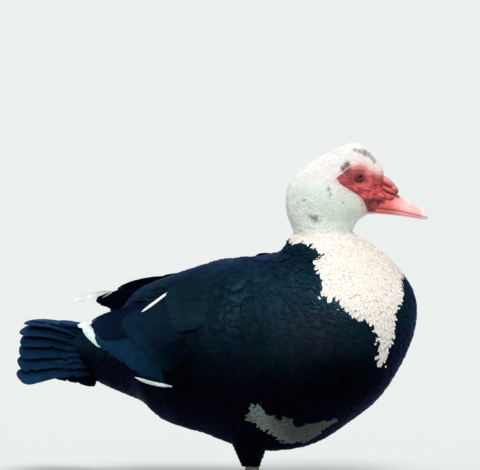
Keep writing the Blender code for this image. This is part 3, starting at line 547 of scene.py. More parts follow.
eye = {
    "x": 0.1747, "z": 0.3708, "radius": 0.0060, "setIn": 0.0034, "cornea": 0.07, "corneaWide": 0.55,
    "socket": 0.0064, "socketRim": 0.0054, "opening": 0.0037, "openingDepth": -0.0006, "flatness": 1.38,
    "pupilEdge": (0.30, 0.34), "irisEdge": (0.66, 0.74),  # angles from the middle of the eye
    # the lids' almond and the slant of its corners, then the fold's place, thickness and width
    "lidLong": 0.0041, "lidHigh": 0.0030, "lidSlant": 0.00016, "lidOut": 0.0007, "lidThick": 0.00090,
    "lidBelow": 0.00018, "lidWide": 1.3,
}
skin = {
    # name, first and last section, rows, columns, nodes
    "pieces": [("bodySkin", 0, 17.2, 130, 200, ("torso", "neck")),
               ("headSkin", 16.4, lastSection, 240, 380, ("head",))],
    "pebble": 0.0030, "pebbleHeight": 0.0006, "pebbleStretch": 1.25, "pebbleParts": 40,
    "pebbleCells": (0.146, 0.216, 0.322, 0.392), "pebbled": (0.144, 0.218, 0.320, 0.394),  # x and z from, to
    "ripple": 0.00016,
    "lidBand": (0.1790, 0.3615, 0.0080, 0.0032),  # paler under the eye: x, z, half length, half height
    # painted shade in the folds of the face: x, z, half length, half height, pitch, share
    "folds": [(0.1915, 0.3660, 0.0028, 0.0085, 0, 0.50), (0.1745, 0.3662, 0.0120, 0.0020, -8, 0.42),
              (0.1955, 0.3425, 0.0120, 0.0042, 4, 0.55), (0.1880, 0.3330, 0.0060, 0.0050, 0, 0.35),
              (0.1900, 0.3395, 0.0075, 0.0060, 0, 0.42), (0.1590, 0.3815, 0.0060, 0.0040, 38, 0.60),
              (0.1660, 0.3560, 0.0100, 0.0016, -26, 0.35)],
    "depths": [(0, 0.0030), (4, 0.0034), (12, 0.0032), (15, 0.0018), (18, 0.0010), (27, 0.0006)],
    # swellings of the face: x, z, half length, half height, height
    "swellings": [(0.1673, 0.3805, 0.0100, 0.0030, 0.0014), (0.1560, 0.3675, 0.0060, 0.0050, 0.0012),
                  (0.1788, 0.3600, 0.0085, 0.0030, 0.0020), (0.1905, 0.3640, 0.0060, 0.0050, 0.0018),
                  (0.1650, 0.3565, 0.0070, 0.0045, 0.0013), (0.1834, 0.3500, 0.0065, 0.0048, 0.0018),
                  (0.1930, 0.3365, 0.0055, 0.0045, 0.0020), (0.1949, 0.3540, 0.0070, 0.0034, 0.0020),
                  (0.1720, 0.3470, 0.0050, 0.0030, 0.0010), (0.1860, 0.3735, 0.0060, 0.0034, 0.0012)],
}


def unturned(points):
    # the head as it lies before its turn, for patterns drawn from the side
    return turned(points, -1.0)


def faceDepth(x, z, at):
    # distance inside the bare face seen from the side, negative outside
    return np.where(at > pale["faceFrom"], polygonDistance(marks["face"], x, z), -1.0)


def skinHeight(at, x, z):
    # below the coat by its depth, level with the surface and swollen on the bare face, open over the eye
    bare = faceDepth(x, z, at)
    depth = np.interp(at, *np.array(skin["depths"]).T)
    swell = sum(h * bell(x, z, sx, sz, a, b) for sx, sz, a, b, h in skin["swellings"])
    away = np.hypot(x - eye["x"], z - eye["z"])
    oval = np.hypot(x - eye["x"], (z - eye["z"]) * eye["flatness"])
    ball = np.sqrt(np.maximum(eye["socket"] ** 2 - away ** 2, 0)) - eye["setIn"]
    height = -depth + ease(-0.0016, 0.0010, bare) * (depth - 0.0003 + swell)
    overBall = height + (ball - height) * ease(eye["socket"], eye["socketRim"], away)
    height = np.where((away < eye["socket"]) & (ball > height), overBall, height)
    return np.where(oval < eye["opening"], eye["openingDepth"], height), bare, swell


def foldShade(x, z):
    # painted shade of the folds: product of 1 - share bell, in each fold's own turned coordinates
    shade = 1.0
    for fx, fz, length, height, pitch, share in skin["folds"]:
        c, s = math.cos(math.radians(pitch)), math.sin(math.radians(pitch))
        u, v = (x - fx) * c + (z - fz) * s, (z - fz) * c - (x - fx) * s
        shade = shade * (1 - share * bell(u, v, 0, 0, length, height))
    return shade


def pebbles(x, z):
    # cells round jittered places: 0 in the grooves, 1 on a pebble, from second nearest less nearest place
    size, stretch = skin["pebble"], skin["pebbleStretch"]
    left, right, low, high = skin["pebbleCells"]
    gx, gz = np.meshgrid(np.arange(left, right, size * stretch), np.arange(low, high, size))
    shift = np.random.default_rng(5).random((2, *gx.shape)) - 0.5
    gx, gz = (gx + shift[0] * size).ravel() / stretch, (gz + shift[1] * size * 0.8).ravel()
    left, right, low, high = skin["pebbled"]
    height = np.zeros(x.size)
    where = np.flatnonzero((x > left) & (x < right) & (z > low) & (z < high))
    for part in np.array_split(where, skin["pebbleParts"]):
        away = np.hypot(x.ravel()[part, None] / stretch - gx, z.ravel()[part, None] - gz)
        nearest = np.partition(away, 1, axis=1)[:, :2]
        groove = (nearest[:, 1] - nearest[:, 0]) / size
        height[part] = ease(0, 0.55, groove) * ease(1.0, 0.1, nearest[:, 0] / size)
    return height.reshape(x.shape)


def faceTone(x, z, swell, raised, bare, fromEye):
    # red to pink on the swellings, deep red in the grooves as painted shade, pale at the upper rim, painted shade
    # in the folds, darker towards the back and by the eye
    ruddy = np.clip(0.20 + swell / 0.0030 + 0.35 * raised + 0.26 * wobble(x * 420, z * 510), 0, 1)
    flesh = mixed(colour["deepRed"], colour["red"], np.clip(ruddy * 1.7, 0, 1))
    flesh = mixed(flesh, colour["pink"], 0.36 * np.clip(ruddy - 0.45, 0, 1) * 1.5)
    flesh = flesh + (colour["lid"] * 1.3 - flesh) * 0.7 * bell(x, z, *skin["lidBand"])[..., None]
    rim = 0.95 * np.exp(-np.maximum(bare, 0) / 0.0042) * ease(0.361, 0.374, z) * ease(0.160, 0.172, x)
    flesh = mixed(flesh, colour["blush"] * 0.9, rim)
    # painted shade in the folds, darker towards the back of the face
    light = foldShade(x, z) * (0.70 + 0.34 * ease(0.1640, 0.1870, x) + 0.12 * wobble(x * 260, z * 330))
    return flesh * (light * (1 - 0.60 * np.exp(-(fromEye / 0.0047) ** 2)))[..., None]


def makeSkin(name, low, high, rows, columns, nodes):
    # the body's surface on a grid of sections and angles, moved outward by skinHeight, pebbles and ripples
    angle = np.linspace(-math.pi, math.pi, columns, endpoint=False)
    at, angle = np.meshgrid(np.linspace(low, high, rows), angle, indexing="ij")
    place, normal, _ = bodyFrame(at, angle)
    x, y, z = np.moveaxis(bodyPoint(at, angle, turn=False), -1, 0)
    height, bare, swell = skinHeight(at, x, z)
    fromEye = np.hypot((x - eye["x"]) / 1.3, z - eye["z"])
    onFace = ease(0.0, 0.0020, bare)
    raised = pebbles(x, z) * onFace * ease(0.0050, 0.0090, fromEye)
    ripples = onFace * skin["ripple"] * wobble(x * 1500, y * 900, z * 1700)
    height = height + skin["pebbleHeight"] * raised + ripples
    seed = np.full(at.shape, 0.5)
    white = (whiteness(at, angle) > 0)[..., None]
    tone = np.where(white, paleTone(place, at, seed, x) * 0.95, darkTone(place, seed) * 0.6)
    tone = mixed(tone, faceTone(x, z, swell, raised, bare, fromEye), ease(-0.0010, 0.0012, bare))
    slotName = "face_skin" if "head" in nodes else "dark_plumage"
    makeTube(name, place + normal * height[..., None], "skin", tone, slotName, *nodes)


for piece in skin["pieces"]:
    makeSkin(*piece)
print("skin made")

coat = {
    "columns": 320, "rows": 1700, "step": 0.001,  # meridians, places along each, step of arc in metres
    "fineTo": 16, "turnedFrom": 15.9, "headFrom": 17.0, "wingTo": 13,  # sections
    # finer feathers on the white and along its edge, the reach in sections
    "whiteWidth": 0.50, "whiteReach": -0.25, "edgeReach": 0.40,
    # shift of each meridian's rows, looseness of roots in rows, sideways drift in lengths, least length and spread
    "shift": 0.618, "jitter": 0.8, "drift": 0.30, "longer": (0.88, 0.30),
    # height over the bare face that still takes feathers, at root and tip, and the section of the hindmost roots
    "bareRoot": 0.0004, "bareTip": 0.0006, "hindmost": 0.02,
    "thick": (0.00014, 0.025), "bury": 0.92,  # least thickness, thickness in half widths, depth of the roots
    "underWing": (0.008, 0.016), "nearBack": (0.040, 0.25, 0.12),  # rim of the covered part, its inner limit
    "wingSwell": (0.0018, 0.012), "backSwell": (0.0034, 0.0095),  # lift over the wing and between the wings
    # section, length, width and lift of the tip
    "sizes": [(0, 0.022, 0.0115, 0.0005), (3, 0.024, 0.0135, 0.0005), (6, 0.022, 0.0130, 0.0005),
              (9, 0.020, 0.0115, 0.0005), (12, 0.0165, 0.0090, 0.0004), (14, 0.0130, 0.0070, 0.0003),
              (16, 0.0100, 0.0050, 0.0002), (18, 0.0088, 0.0043, 0.00015), (21, 0.0068, 0.0036, 0.00015),
              (24, 0.0052, 0.0030, 0.0001), (27, 0.0042, 0.0026, 0.0001)],
    "rowShare": 0.31, "columnShare": 0.55, "edgeShare": 0.62, "halfShare": 0.62,
    # least width, roll, arch, darker rims, light at the root and its gain towards the tip: the darker rims and
    # root are painted shade where the feathers overlap
    "kinds": {"pale": (0.0, 0.10, 0.04, 0.02, 0.96, 0.04), "dark": (0.75, 0.16, 0.06, 0.06, 0.80, 0.26)},
    # the edge along which the flank and shoulder feathers lie over the folded wing, seen from the side
    "pocket": [(0.036, 0.300), (0.036, 0.215), (0.029, 0.205), (-0.023, 0.171), (-0.015, 0.127),
               (-0.016, 0.112)],
    # the part of the side where the wing shows
    "wingShows": [(0.054, 0.300), (0.044, 0.262), (0.030, 0.236), (0.033, 0.215), (0.029, 0.205),
                  (-0.023, 0.171), (-0.015, 0.127), (-0.030, 0.122), (-0.065, 0.132), (-0.100, 0.150),
                  (-0.125, 0.165), (-0.150, 0.185), (-0.150, 0.300)],
}
folded = {
    # x, centre z, half height, half width of the surface that the folded wings lie on
    "envelope": [(-0.230, 0.166, 0.030, 0.026), (-0.200, 0.166, 0.036, 0.036),
                 (-0.150, 0.163, 0.048, 0.054), (-0.100, 0.164, 0.064, 0.075),
                 (-0.050, 0.162, 0.085, 0.092), (0.000, 0.163, 0.101, 0.102),
                 (0.050, 0.165, 0.113, 0.106), (0.100, 0.170, 0.113, 0.101)],
    "farLift": 0.018,  # how much higher the left wing is folded at its tip
    "flatBack": 0.0045,  # how much lower its feathers lie along the back
}


def envelopeRows(x):
    # centre, half height and half width of the wings' surface, on smooth curves along x
    rows = np.array(folded["envelope"])
    return np.moveaxis(smoothRows(rows, np.interp(x, rows[:, 0], np.arange(len(rows)))), -1, 0)[1:]


def wingLift(x, side):
    # the left wing rises smoothly towards its tip
    return folded["farLift"] * (side > 0) * ease(-0.01, -0.12, x)


def envelopePoint(x, angle, side):
    # x, side width sin(angle), centre + height cos(angle) + lift
    centre, height, width = envelopeRows(x)
    return np.stack([x, side * width * np.sin(angle), centre + height * np.cos(angle) + wingLift(x, side)], -1)


def envelopeOver(p):
    # how far the wing's surface is outside a point of the body, along the ray from the section's middle
    centre, height, width = envelopeRows(p[..., 0])
    dz = p[..., 2] - centre - wingLift(p[..., 0], np.sign(p[..., 1]))
    share = np.sqrt((p[..., 1] / width) ** 2 + (dz / height) ** 2)
    return (1 / np.maximum(share, 0.3) - 1) * np.hypot(p[..., 1], dz)


def overWing(p):
    # lift of the coat over the wing's front: full at the pocket's edge, none 50 mm away or where the wing shows
    x, y, z = np.moveaxis(p, -1, 0)
    away = lineDistance(coat["pocket"], x, z)
    shows = polygonDistance(coat["wingShows"], x, z)
    near = ease(0.050, 0.006, away) * ease(0.012, 0.004, shows) * ease(-0.06, -0.02, x)
    clear, most = coat["wingSwell"]
    return np.clip(envelopeOver(p) + clear, 0, most) * near * ease(0.010, 0.030, np.abs(y))


def overBack(p):
    # lift of the coat between the folded wings, up to their level there, the same on both sides
    x, y, z = np.moveaxis(p, -1, 0)
    level = envelopeOver(np.stack([x, -np.abs(y), z], -1))
    near = ease(0.058, 0.038, np.abs(y)) * ease(-0.115, -0.085, x) * ease(0.048, 0.002, x) * (z > 0.2)
    clear, most = coat["backSwell"]
    return np.clip(level + clear, 0, most) * near


def meridians():
    # lines from bill to tail at equal angles, their steps, arc length and spacing, and the section at each arc
    at = np.linspace(lastSection, 0, coat["rows"])
    angle = np.linspace(-math.pi, math.pi, coat["columns"], endpoint=False)
    points = bodyPoint(at[:, None], angle[None])
    step = np.linalg.norm(np.diff(points, axis=0), axis=-1)
    arc = np.vstack([np.zeros(coat["columns"]), np.cumsum(step, 0)])
    apart = np.linalg.norm(np.roll(points, -1, 1) - points, axis=-1)
    marksAt = np.arange(0, arc.max() + 0.05, coat["step"])
    atOfArc = np.stack([np.interp(marksAt, arc[:, k], at) for k in range(coat["columns"])])
    return at, angle, step, arc, apart, atOfArc


def placeFeathers():
    # roots on every meridian at equal steps of arc / spacing, meridians thinned by powers of two to the width
    at, angle, step, arc, apart, atOfArc = meridians()
    perColumn = 2 * math.pi / coat["columns"]
    sizes = np.array(coat["sizes"])
    length, width = (np.interp(at, sizes[:, 0], sizes[:, k]) for k in (1, 2))
    white, fine = whiteness(at[:, None], angle[None]), at[:, None] < coat["fineTo"]
    slim = np.where((white > coat["whiteReach"]) & fine, coat["whiteWidth"], 1.0)
    length = length[:, None] * np.where((np.abs(white) < coat["edgeReach"]) & fine, coat["edgeShare"], 1.0)
    spacing = coat["rowShare"] * length[1:] * (0.7 + 0.3 * slim[1:])
    count = np.vstack([np.zeros(coat["columns"]), np.cumsum(step / spacing, 0)])
    count += (np.arange(coat["columns"]) * coat["shift"]) % 1
    rows, columns = np.nonzero(np.floor(count[1:]) > np.floor(count[:-1]))
    wanted = width[rows] * slim[rows, columns] * coat["columnShare"]
    doublings = np.round(np.log2(wanted / np.maximum(apart[rows, columns], 1e-6)))
    stride = 2 ** np.clip(doublings, 0, 6).astype(int)
    keep = columns % stride == 0
    rows, columns, stride = rows[keep], columns[keep], stride[keep]
    seed = chance.random((len(rows), 4))
    start = arc[rows, columns] + (seed[:, 0] - 0.5) * coat["jitter"] * coat["rowShare"] * length[rows, columns]
    turn = (seed[:, 1] - 0.5) * coat["jitter"] * stride * perColumn
    column, (least, more) = columns + turn / perColumn, coat["longer"]
    return {"column": column, "uv": (column / coat["columns"]) % 1, "arc": np.maximum(start, 0.0005),
            "seed": seed, "length": length[rows, columns] * (least + more * seed[:, 2]), "width": width[rows],
            "slim": slim[rows, columns], "metres": apart[rows, columns] / perColumn,
            "atOfArc": atOfArc, "end": arc[-1]}


def chosen(spots, which):
    # the table of feathers cut down to some of them, its two tables of whole meridians kept
    return {key: value if key in ("atOfArc", "end") else value[which] for key, value in spots.items()}


def featherShares(stations):
    # stations lie closer towards the tip: share = 1 - (1 - t) to the power of 1.4
    return 1 - (1 - np.linspace(0, 1, stations)) ** 1.4


def followFlow(spots, stations):
    # middle lines down the meridians with a slight drift: at = table[column, arc + share x length]
    share, total = featherShares(stations)[None], coat["columns"]
    perColumn, metres = 2 * math.pi / total, np.maximum(spots["metres"], 1e-4)[:, None]
    arc = spots["arc"][:, None] + share * spots["length"][:, None]
    drift = (spots["seed"][:, 3:4] - 0.5) * coat["drift"] * spots["length"][:, None] * share
    column = spots["column"][:, None] + drift / metres / perColumn
    table = spots["atOfArc"]
    low, part = np.floor(column).astype(int), column - np.floor(column)
    row = np.clip(arc / coat["step"], 0, table.shape[1] - 1.001)
    rowLow, rowPart = row.astype(int), row - row.astype(int)
    at = sum(weight * ((1 - rowPart) * table[k % total, rowLow] + rowPart * table[k % total, rowLow + 1])
             for k, weight in ((low, 1 - part), (low + 1, part)))
    angle = -math.pi + column * 2 * math.pi / total
    end = np.interp(column % total, np.arange(total + 1), np.append(spots["end"], spots["end"][0]))
    return at, angle, np.maximum(0, arc - end)


def featherRings(centre, normal, along, half, thick, roll, arch=0.14):
    # ring of five: left edge, two points of the arched top, right edge, underside. across = normal x along
    across = unit(np.cross(normal, along))
    normal = unit(np.cross(along, across))
    c, s = np.cos(roll)[..., None], np.sin(roll)[..., None]
    across, normal = across * c + normal * s, normal * c - across * s
    droop, half, thick = normal * (half * arch)[..., None], half[..., None], thick[..., None]
    left, right = centre + across * half - droop, centre - across * half - droop
    top = normal * thick * 0.7
    return np.stack([left, centre + across * half * 0.4 + top, centre - across * half * 0.4 + top, right,
                     centre - normal * thick * 0.4 - droop * 0.4], 2)


outlines = {  # width at each station from the root
    "round": [0.50, 0.80, 0.97, 1.00, 0.89, 0.60, 0.08], "hair": [0.60, 0.92, 1.00, 0.86, 0.52, 0.06],
    "short": [0.65, 1.00, 0.97, 0.68, 0.10],
}
ringAcross = np.array([1.0, 0.5, -0.5, -1.0, 0.0])  # place of the ring's five points over the width


def underWing(tip, at, seed):
    # the folded wing covers the feather: its tip is inside the part that shows, with an uneven rim
    shows = polygonDistance(coat["wingShows"], tip[:, 0], tip[:, 2])
    (inside, uneven), (least, slope, behind) = coat["underWing"], coat["nearBack"]
    outer = np.abs(tip[:, 1]) > least + slope * np.clip(tip[:, 0] + behind, 0, 1)
    return (shows > inside + uneven * (seed - 0.5)) & outer & (at < coat["wingTo"])


def makeCoatPiece(name, outline, kind, some):
    # rings round each feather's middle line, which rises from the skin at the root to just over the coat
    steps = len(outlines[outline])
    at, angle, past = followFlow(some, steps)
    place, normal, back = bodyFrame(at, angle)
    place = place + back * past[..., None]
    side = np.where((at > coat["turnedFrom"])[..., None], unturned(place), place)
    ground, bare, _ = skinHeight(at, side[..., 0], side[..., 2])
    covered = underWing(place[:, -1], at[:, -1], some["seed"][:, 1])
    feathered = (bare[:, 0] < coat["bareRoot"]) & (bare[:, -1] < coat["bareTip"])
    keep = feathered & ~covered & (at[:, 0] > coat["hindmost"])
    at, place, normal, side, ground = (v[keep] for v in (at, place, normal, side, ground))
    some = chosen(some, keep)
    seed, share, sizes = some["seed"], featherShares(steps)[None], np.array(coat["sizes"])
    lift = np.interp(at, sizes[:, 0], sizes[:, 3]) * (1.0 + 0.9 * (seed[:, 1:2] - 0.5)) * share
    sunk = ground * coat["bury"] * (1 - share ** 0.8)
    height = sunk + lift + np.maximum(overWing(place), overBack(place))
    centre = place + normal * height[..., None]
    along = unit(np.gradient(centre, axis=1))
    least, roll, arch, rimShade, light, gain = coat["kinds"][kind]
    half = some["width"] * np.maximum(some["slim"], least) * coat["halfShare"]
    half = half[:, None] * np.array(outlines[outline])[None]
    rolled = ((seed[:, 2:3] - 0.5) * roll) * np.ones_like(at)
    thick = np.maximum(coat["thick"][0], coat["thick"][1] * half)
    rings = featherRings(centre, normal, along, half, thick, rolled, arch)
    number = np.repeat(seed[:, 3:4], steps, 1)
    tone = darkTone(place, number) if kind == "dark" else paleTone(place, at, number, side[..., 0], share)
    # painted shade: darker at the covered root and along the rims
    tone = (tone * (light + gain * share[..., None]))[:, :, None]
    tone = tone * (1 - rimShade * np.abs(ringAcross))[None, None, :, None]
    reach = half[..., None] * ringAcross
    barbPlace = together((share * some["length"][:, None])[..., None], reach, number[..., None])
    down = (some["arc"] / 0.75)[:, None] + 0.003 * share
    uv = together(some["uv"][:, None, None] + reach * 0.08, down[..., None])
    makeFeathers(name, rings, kind, tone, barbPlace, uv, 3)
    print(name, len(rings), "feathers")


def makeCoat():
    # short feathers on the head, hair-like ones on the white of the neck and bib, round dark ones elsewhere
    spots = placeFeathers()
    at, angle, _ = followFlow(spots, 5)
    white = whiteness(at[:, -1], angle[:, -1]) + 0.10 * (spots["seed"][:, 0] - 0.5) > 0
    head, right = at[:, 0] > coat["headFrom"], spots["uv"] < 0.5
    for name, outline, kind, group in (("head", "short", "pale", head), ("neck", "hair", "pale", ~head & white),
                                       ("body", "round", "dark", ~head & ~white)):
        makeCoatPiece(f"{name}FeathersRight", outline, kind, chosen(spots, group & right))
        makeCoatPiece(f"{name}FeathersLeft", outline, kind, chosen(spots, group & ~right))


makeCoat()

vane = {
    "stations": 34, "blunt": 0.26, "root": 0.40, "thick": 0.0005,
    "notches": 4, "notch": 0.020, "notchDepth": 0.30, "notchFrom": 0.30, "notchSpan": 0.68, "deepest": 0.35,
    # the ring of eight: place over the width, and height in half thicknesses
    "across": [1, 0.5, 0, -0.5, -1, -0.5, 0, 0.5], "face": [0, 0.8, 1.6, 0.8, 0, -0.8, -1, -0.8],
    "shade": 0.22,  # painted shade, darker towards the edges
}


def vaneRings(centre, normal, half, thick, lean, camber, sides):
    # ring of eight: height = lean c + camber (1 - c c) + thickness, c from 1 to -1 and back below
    along = unit(np.gradient(centre, axis=1))
    across = unit(np.cross(normal, along))
    normal = unit(np.cross(along, across))
    c, surface = np.array(vane["across"]), np.array(vane["face"])
    height = lean[..., None] * c + camber[..., None] * (1 - c * c) + thick[..., None] / 2 * surface
    reach = half[..., None] * c * np.where(c > 0, sides[..., :1], sides[..., 1:])
    return centre[:, :, None] + across[:, :, None] * reach[..., None] + normal[:, :, None] * height[..., None]


def vaneShares(count):
    # stations closer towards the tip: share = 1 - (1 - t) to the power of 1.5, a row for each vane
    share = 1 - (1 - np.linspace(0, 1, vane["stations"])) ** 1.5
    return np.tile(share, (count, 1))


def vaneHalf(share, width, pointed, root=vane["root"]):
    # widens from the root, then a round or pointed end: (1 - u u) to the power of 0.5 to 1
    end = vane["blunt"] + 0.2 * pointed
    u = np.clip((share - (1 - vane["blunt"] - 0.2 * pointed)) / end, 0, 1)
    widening = root + (1 - root) * ease(0, 0.30, share)
    return width[:, None] / 2 * widening * np.maximum(1 - u * u, 0.002) ** (0.5 + 0.45 * pointed)


def makeVanes(name, kind, node, centre, normal, half, lean, camber, tone):
    # the edges part in a few places: width x (1 - depth max(0, 1 - distance / notch)), each side by itself
    count = len(half)
    share = vaneShares(count)
    split = chance.random((3, vane["notches"], count, 1, 2))
    away = np.abs(share[None, :, :, None] - vane["notchFrom"] - vane["notchSpan"] * split[0])
    gaps = np.maximum(0, 1 - away / (vane["notch"] * (0.6 + split[1])))
    sides = 1 - np.clip((gaps * vane["notchDepth"] * split[2] ** 2).sum(0), 0, vane["deepest"])
    rings = vaneRings(centre, normal, half, vane["thick"] * (1 - 0.55 * share), lean, camber, sides)
    length = np.linalg.norm(centre[:, -1] - centre[:, 0], axis=-1)
    c, seeds = np.array(vane["across"]), chance.random(count)
    barbPlace = together((share * length[:, None])[..., None], half[..., None] * c, seeds[:, None, None])
    spread = (np.arange(count) + 0.5) / count
    uv = together(spread[:, None, None] + c * 0.3 / count, (share * 0.9 + 0.05)[..., None])
    # painted shade towards the edges of each vane
    tone = tone[:, :, None] * (1 - vane["shade"] * np.abs(c))[None, None, :, None]
    makeFeathers(name, rings, kind, tone, barbPlace, uv, 4, node)


wing = {
    # count, width, height over the envelope at root and tip, lean; x and angle of the inner, middle and outer
    # feather's root, then of its tip; how pointed the tip is, colour. Angles in degrees from the top
    "tiers": {
        "Primaries": (8, 0.018, (-0.0085, -0.0060), 0.0010, ((-0.070, 50), (-0.060, 62), (-0.050, 74)),
                      ((-0.150, 52), (-0.143, 66), (-0.112, 86)), 0.5, (0.004, 0.013, 0.034)),
        "Secondaries": (11, 0.027, (-0.0054, -0.0012), 0.0010, ((-0.050, 42), (-0.020, 66), (-0.006, 92)),
                        ((-0.134, 60), (-0.110, 86), (-0.030, 111)), 0.0, (0.004, 0.024, 0.055)),
        "Coverts": (11, 0.021, (-0.0026, 0.0032), 0.0008, ((-0.012, 46), (0.014, 58), (0.020, 76)),
                    ((-0.088, 62), (-0.066, 78), (-0.026, 96)), 0.0, (0.004, 0.018, 0.038)),
        "Tertials": (7, 0.017, (-0.0036, 0.0018), 0.0012, ((-0.012, 40), (-0.016, 48), (-0.024, 57)),
                     ((-0.134, 53), (-0.132, 62), (-0.118, 73)), 0.15, (0.0027, 0.007, 0.019)),
        "LongScapulars": (11, 0.021, (-0.0034, 0.0050), 0.0010, ((0.030, 17), (0.030, 36), (0.034, 60)),
                          ((-0.030, 38), (-0.060, 57), (-0.044, 80)), 0.15, (0.004, 0.014, 0.028)),
        "Scapulars": (12, 0.021, (-0.0040, 0.0070), 0.0010, ((0.050, 11), (0.048, 34), (0.046, 60)),
                      ((-0.010, 19), (-0.030, 42), (-0.012, 68)), 0.1, (0.0065, 0.024, 0.038)),
    },
    # the left wing's, folded higher and nearer the midline: roots, tips, heights
    "left": {
        "Primaries": (((-0.080, 22), (-0.075, 38), (-0.070, 55)),
                      ((-0.165, 33), (-0.168, 50), (-0.152, 70)), (-0.0050, -0.0020)),
        "Tertials": (((-0.018, 9), (-0.022, 24), (-0.028, 42)),
                     ((-0.134, 12), (-0.138, 30), (-0.126, 50)), (-0.0030, 0.0010)),
        "LongScapulars": (((0.030, 12), (0.030, 30), (0.034, 54)),
                          ((-0.078, 12), (-0.074, 34), (-0.050, 66)), (-0.0040, 0.0022)),
    },
    "bow": 2.5, "camber": 0.07, "loose": (0.006, 1.5), "greyTips": 2,  # two inner tertials end in grey
    # white feathers of the right wing (-1) and the left (1): root, tip, width, heights, roll, bow in degrees
    "white": {
        -1: {"WhitePrimary": ((-0.1120, 86), (-0.1545, 51), 0.0125, (-0.0040, -0.0014), 0, 3),
             "WhiteTip": ((-0.1380, 46), (-0.1610, 53), 0.0085, (-0.0030, -0.0014), 0, 3),
             "WhiteStreak": ((-0.0250, 40.0), (-0.0575, 56), 0.0052, (0.0066, 0.0072), 0, 1),
             "WhiteSliver": ((-0.0130, 109.5), (-0.0640, 107.8), 0.0050, (0.0016, 0.0030), 0, 0.5)},
        1: {"WhitePrimary": ((-0.146, 22), (-0.1985, 47), 0.0085, (0.0005, 0.0034), 70, 3),
            "WhiteSliver": ((-0.0090, 109), (-0.0640, 107.5), 0.0050, (0.0016, 0.0030), 0, 0.5)},
    },
    "core": {"front": 0.034, "back": -0.085, "top": 42, "outer": -0.0028, "depth": 0.011,
             "rows": 40, "columns": 24,
             "low": [(-0.085, 76), (-0.050, 92), (-0.020, 88), (0.015, 74), (0.055, 62)]},
}


def across3(three, share):
    # the curve through three points: a (1-s)(1-2s) + b 4s(1-s) + c s(2s-1)
    a, b, c = (np.array(p, float) for p in three)
    s = np.asarray(share)[:, None]
    return a * (1 - s) * (1 - 2 * s) + b * 4 * s * (1 - s) + c * s * (2 * s - 1)


def onEnvelope(x, angle, side):
    # place on the wings' surface and its outward normal = back x down, from small differences
    small = 1e-4
    here = envelopePoint(x, angle, side)
    down = unit(envelopePoint(x, angle + small, side) - here)
    back = unit(envelopePoint(x - small, angle, side) - here)
    return here, unit(np.cross(back, down)) * -side


def wingPath(roots, tips, side, level, bow):
    # straight in x and angle from root to tip, bowed by a sine, at the height that the level gives
    share = vaneShares(len(roots))
    x = roots[:, :1] + share * (tips - roots)[:, :1]
    angle = np.radians(roots[:, 1:] + share * (tips - roots)[:, 1:] + bow * np.sin(math.pi * share))
    here, normal = onEnvelope(x, angle, side)
    height = level[0] + (level[1] - level[0]) * np.minimum(1, share * 1.6)
    height = height - folded["flatBack"] * ease(48, 12, np.degrees(angle))
    return share, here + normal * height[..., None], normal


def makeTier(side, name, node, tier, settings):
    # a row of vanes with roots and tips on smooth curves, each a little loose
    count, width, level, lean, roots, tips, pointed, tint = settings
    place = np.linspace(0, 1, count)
    roots, tips = across3(roots, place), across3(tips, place)
    loose = chance.random((count, 3)) - 0.5
    tips = tips + loose[:, :2] * np.array(wing["loose"])
    share, centre, normal = wingPath(roots, tips, side, level, wing["bow"])
    half = vaneHalf(share, np.full(count, width) * (1 + 0.10 * loose[:, 2]), pointed)
    half *= 1 - 0.05 * np.clip(wobble(share * 30, loose[:, 2:] * 40), 0, 1)
    tilt = side * lean * np.minimum(1, 0.3 + 1.4 * share) * (1 + 0.3 * loose[:, :1])
    # lighter towards the tip, a painted shade at the covered root, times the painted highlights and shade of the
    # plumage
    light = (0.84 + 0.28 * share + 0.18 * loose[:, :1]) * paintedLightAt(centre[..., 0], centre[..., 2])
    tone = np.array(tint) * light[..., None]
    if tier == "Tertials":
        inner = (0.7 * (np.arange(count) < wing["greyTips"]))[:, None]
        tone = mixed(tone, colour["greyTip"], ease(0.93, 0.99, share) * inner)
    makeVanes(f"wing{name}{tier}", "dark", node, centre, normal, half, tilt, half * wing["camber"], tone)


def makeWhiteVane(side, node, piece, root, tip, width, level, roll, bow):
    # one white feather, its surface rolled about its own shaft
    share, centre, normal = wingPath(np.array([root], float), np.array([tip], float), side, level, bow)
    along, roll = unit(np.gradient(centre, axis=1)), math.radians(roll)
    normal = normal * math.cos(roll) + np.cross(along, normal) * math.sin(roll)
    half = vaneHalf(share, np.array([width]), 0.4)
    # darker at the covered root, a painted shade
    tone = colour["whiteVane"] * (0.62 + 0.38 * ease(0.0, 0.3, share))[..., None]
    makeVanes(piece, "whiteVane", node, centre, normal, half, half * 0, half * 0.05, tone)


def makeWingCore(side, name, node):
    # a closed pad under the feathers: an outer face on the envelope, the same face set in by the depth below
    core = wing["core"]
    low = np.array(core["low"])
    x = np.linspace(core["back"], core["front"], core["rows"])[:, None]
    top, under = math.radians(core["top"]), np.radians(np.interp(x, low[:, 0], low[:, 1]))
    angle = top + (under - top) * np.linspace(0, 1, core["columns"])[None]
    here, normal = onEnvelope(np.broadcast_to(x, angle.shape), angle, side)
    outer, inner = here + normal * core["outer"], here - normal * core["depth"]
    rings = np.concatenate([outer, inner[:, ::-1]], 1)[:, ::-side]
    tone = np.tile(colour["black"], (*rings.shape[:2], 1))
    makeTube(f"wing{name}Core", rings, "dark", tone, "dark_plumage", node)


def makeWing(side):
    # tiers from the lowest to the top one, the white feathers, and the core
    name, node = ("Right", "wing_right") if side < 0 else ("Left", "wing_left")
    for tier, settings in wing["tiers"].items():
        if side > 0 and tier in wing["left"]:
            roots, tips, level = wing["left"][tier]
            settings = (*settings[:2], level, settings[3], roots, tips, *settings[6:])
        makeTier(side, name, node, tier, settings)
    for piece, settings in wing["white"][side].items():
        makeWhiteVane(side, node, f"wing{name}{piece}", *settings)
    makeWingCore(side, name, node)


for side in (-1, 1):
    makeWing(side)
print("wings made")

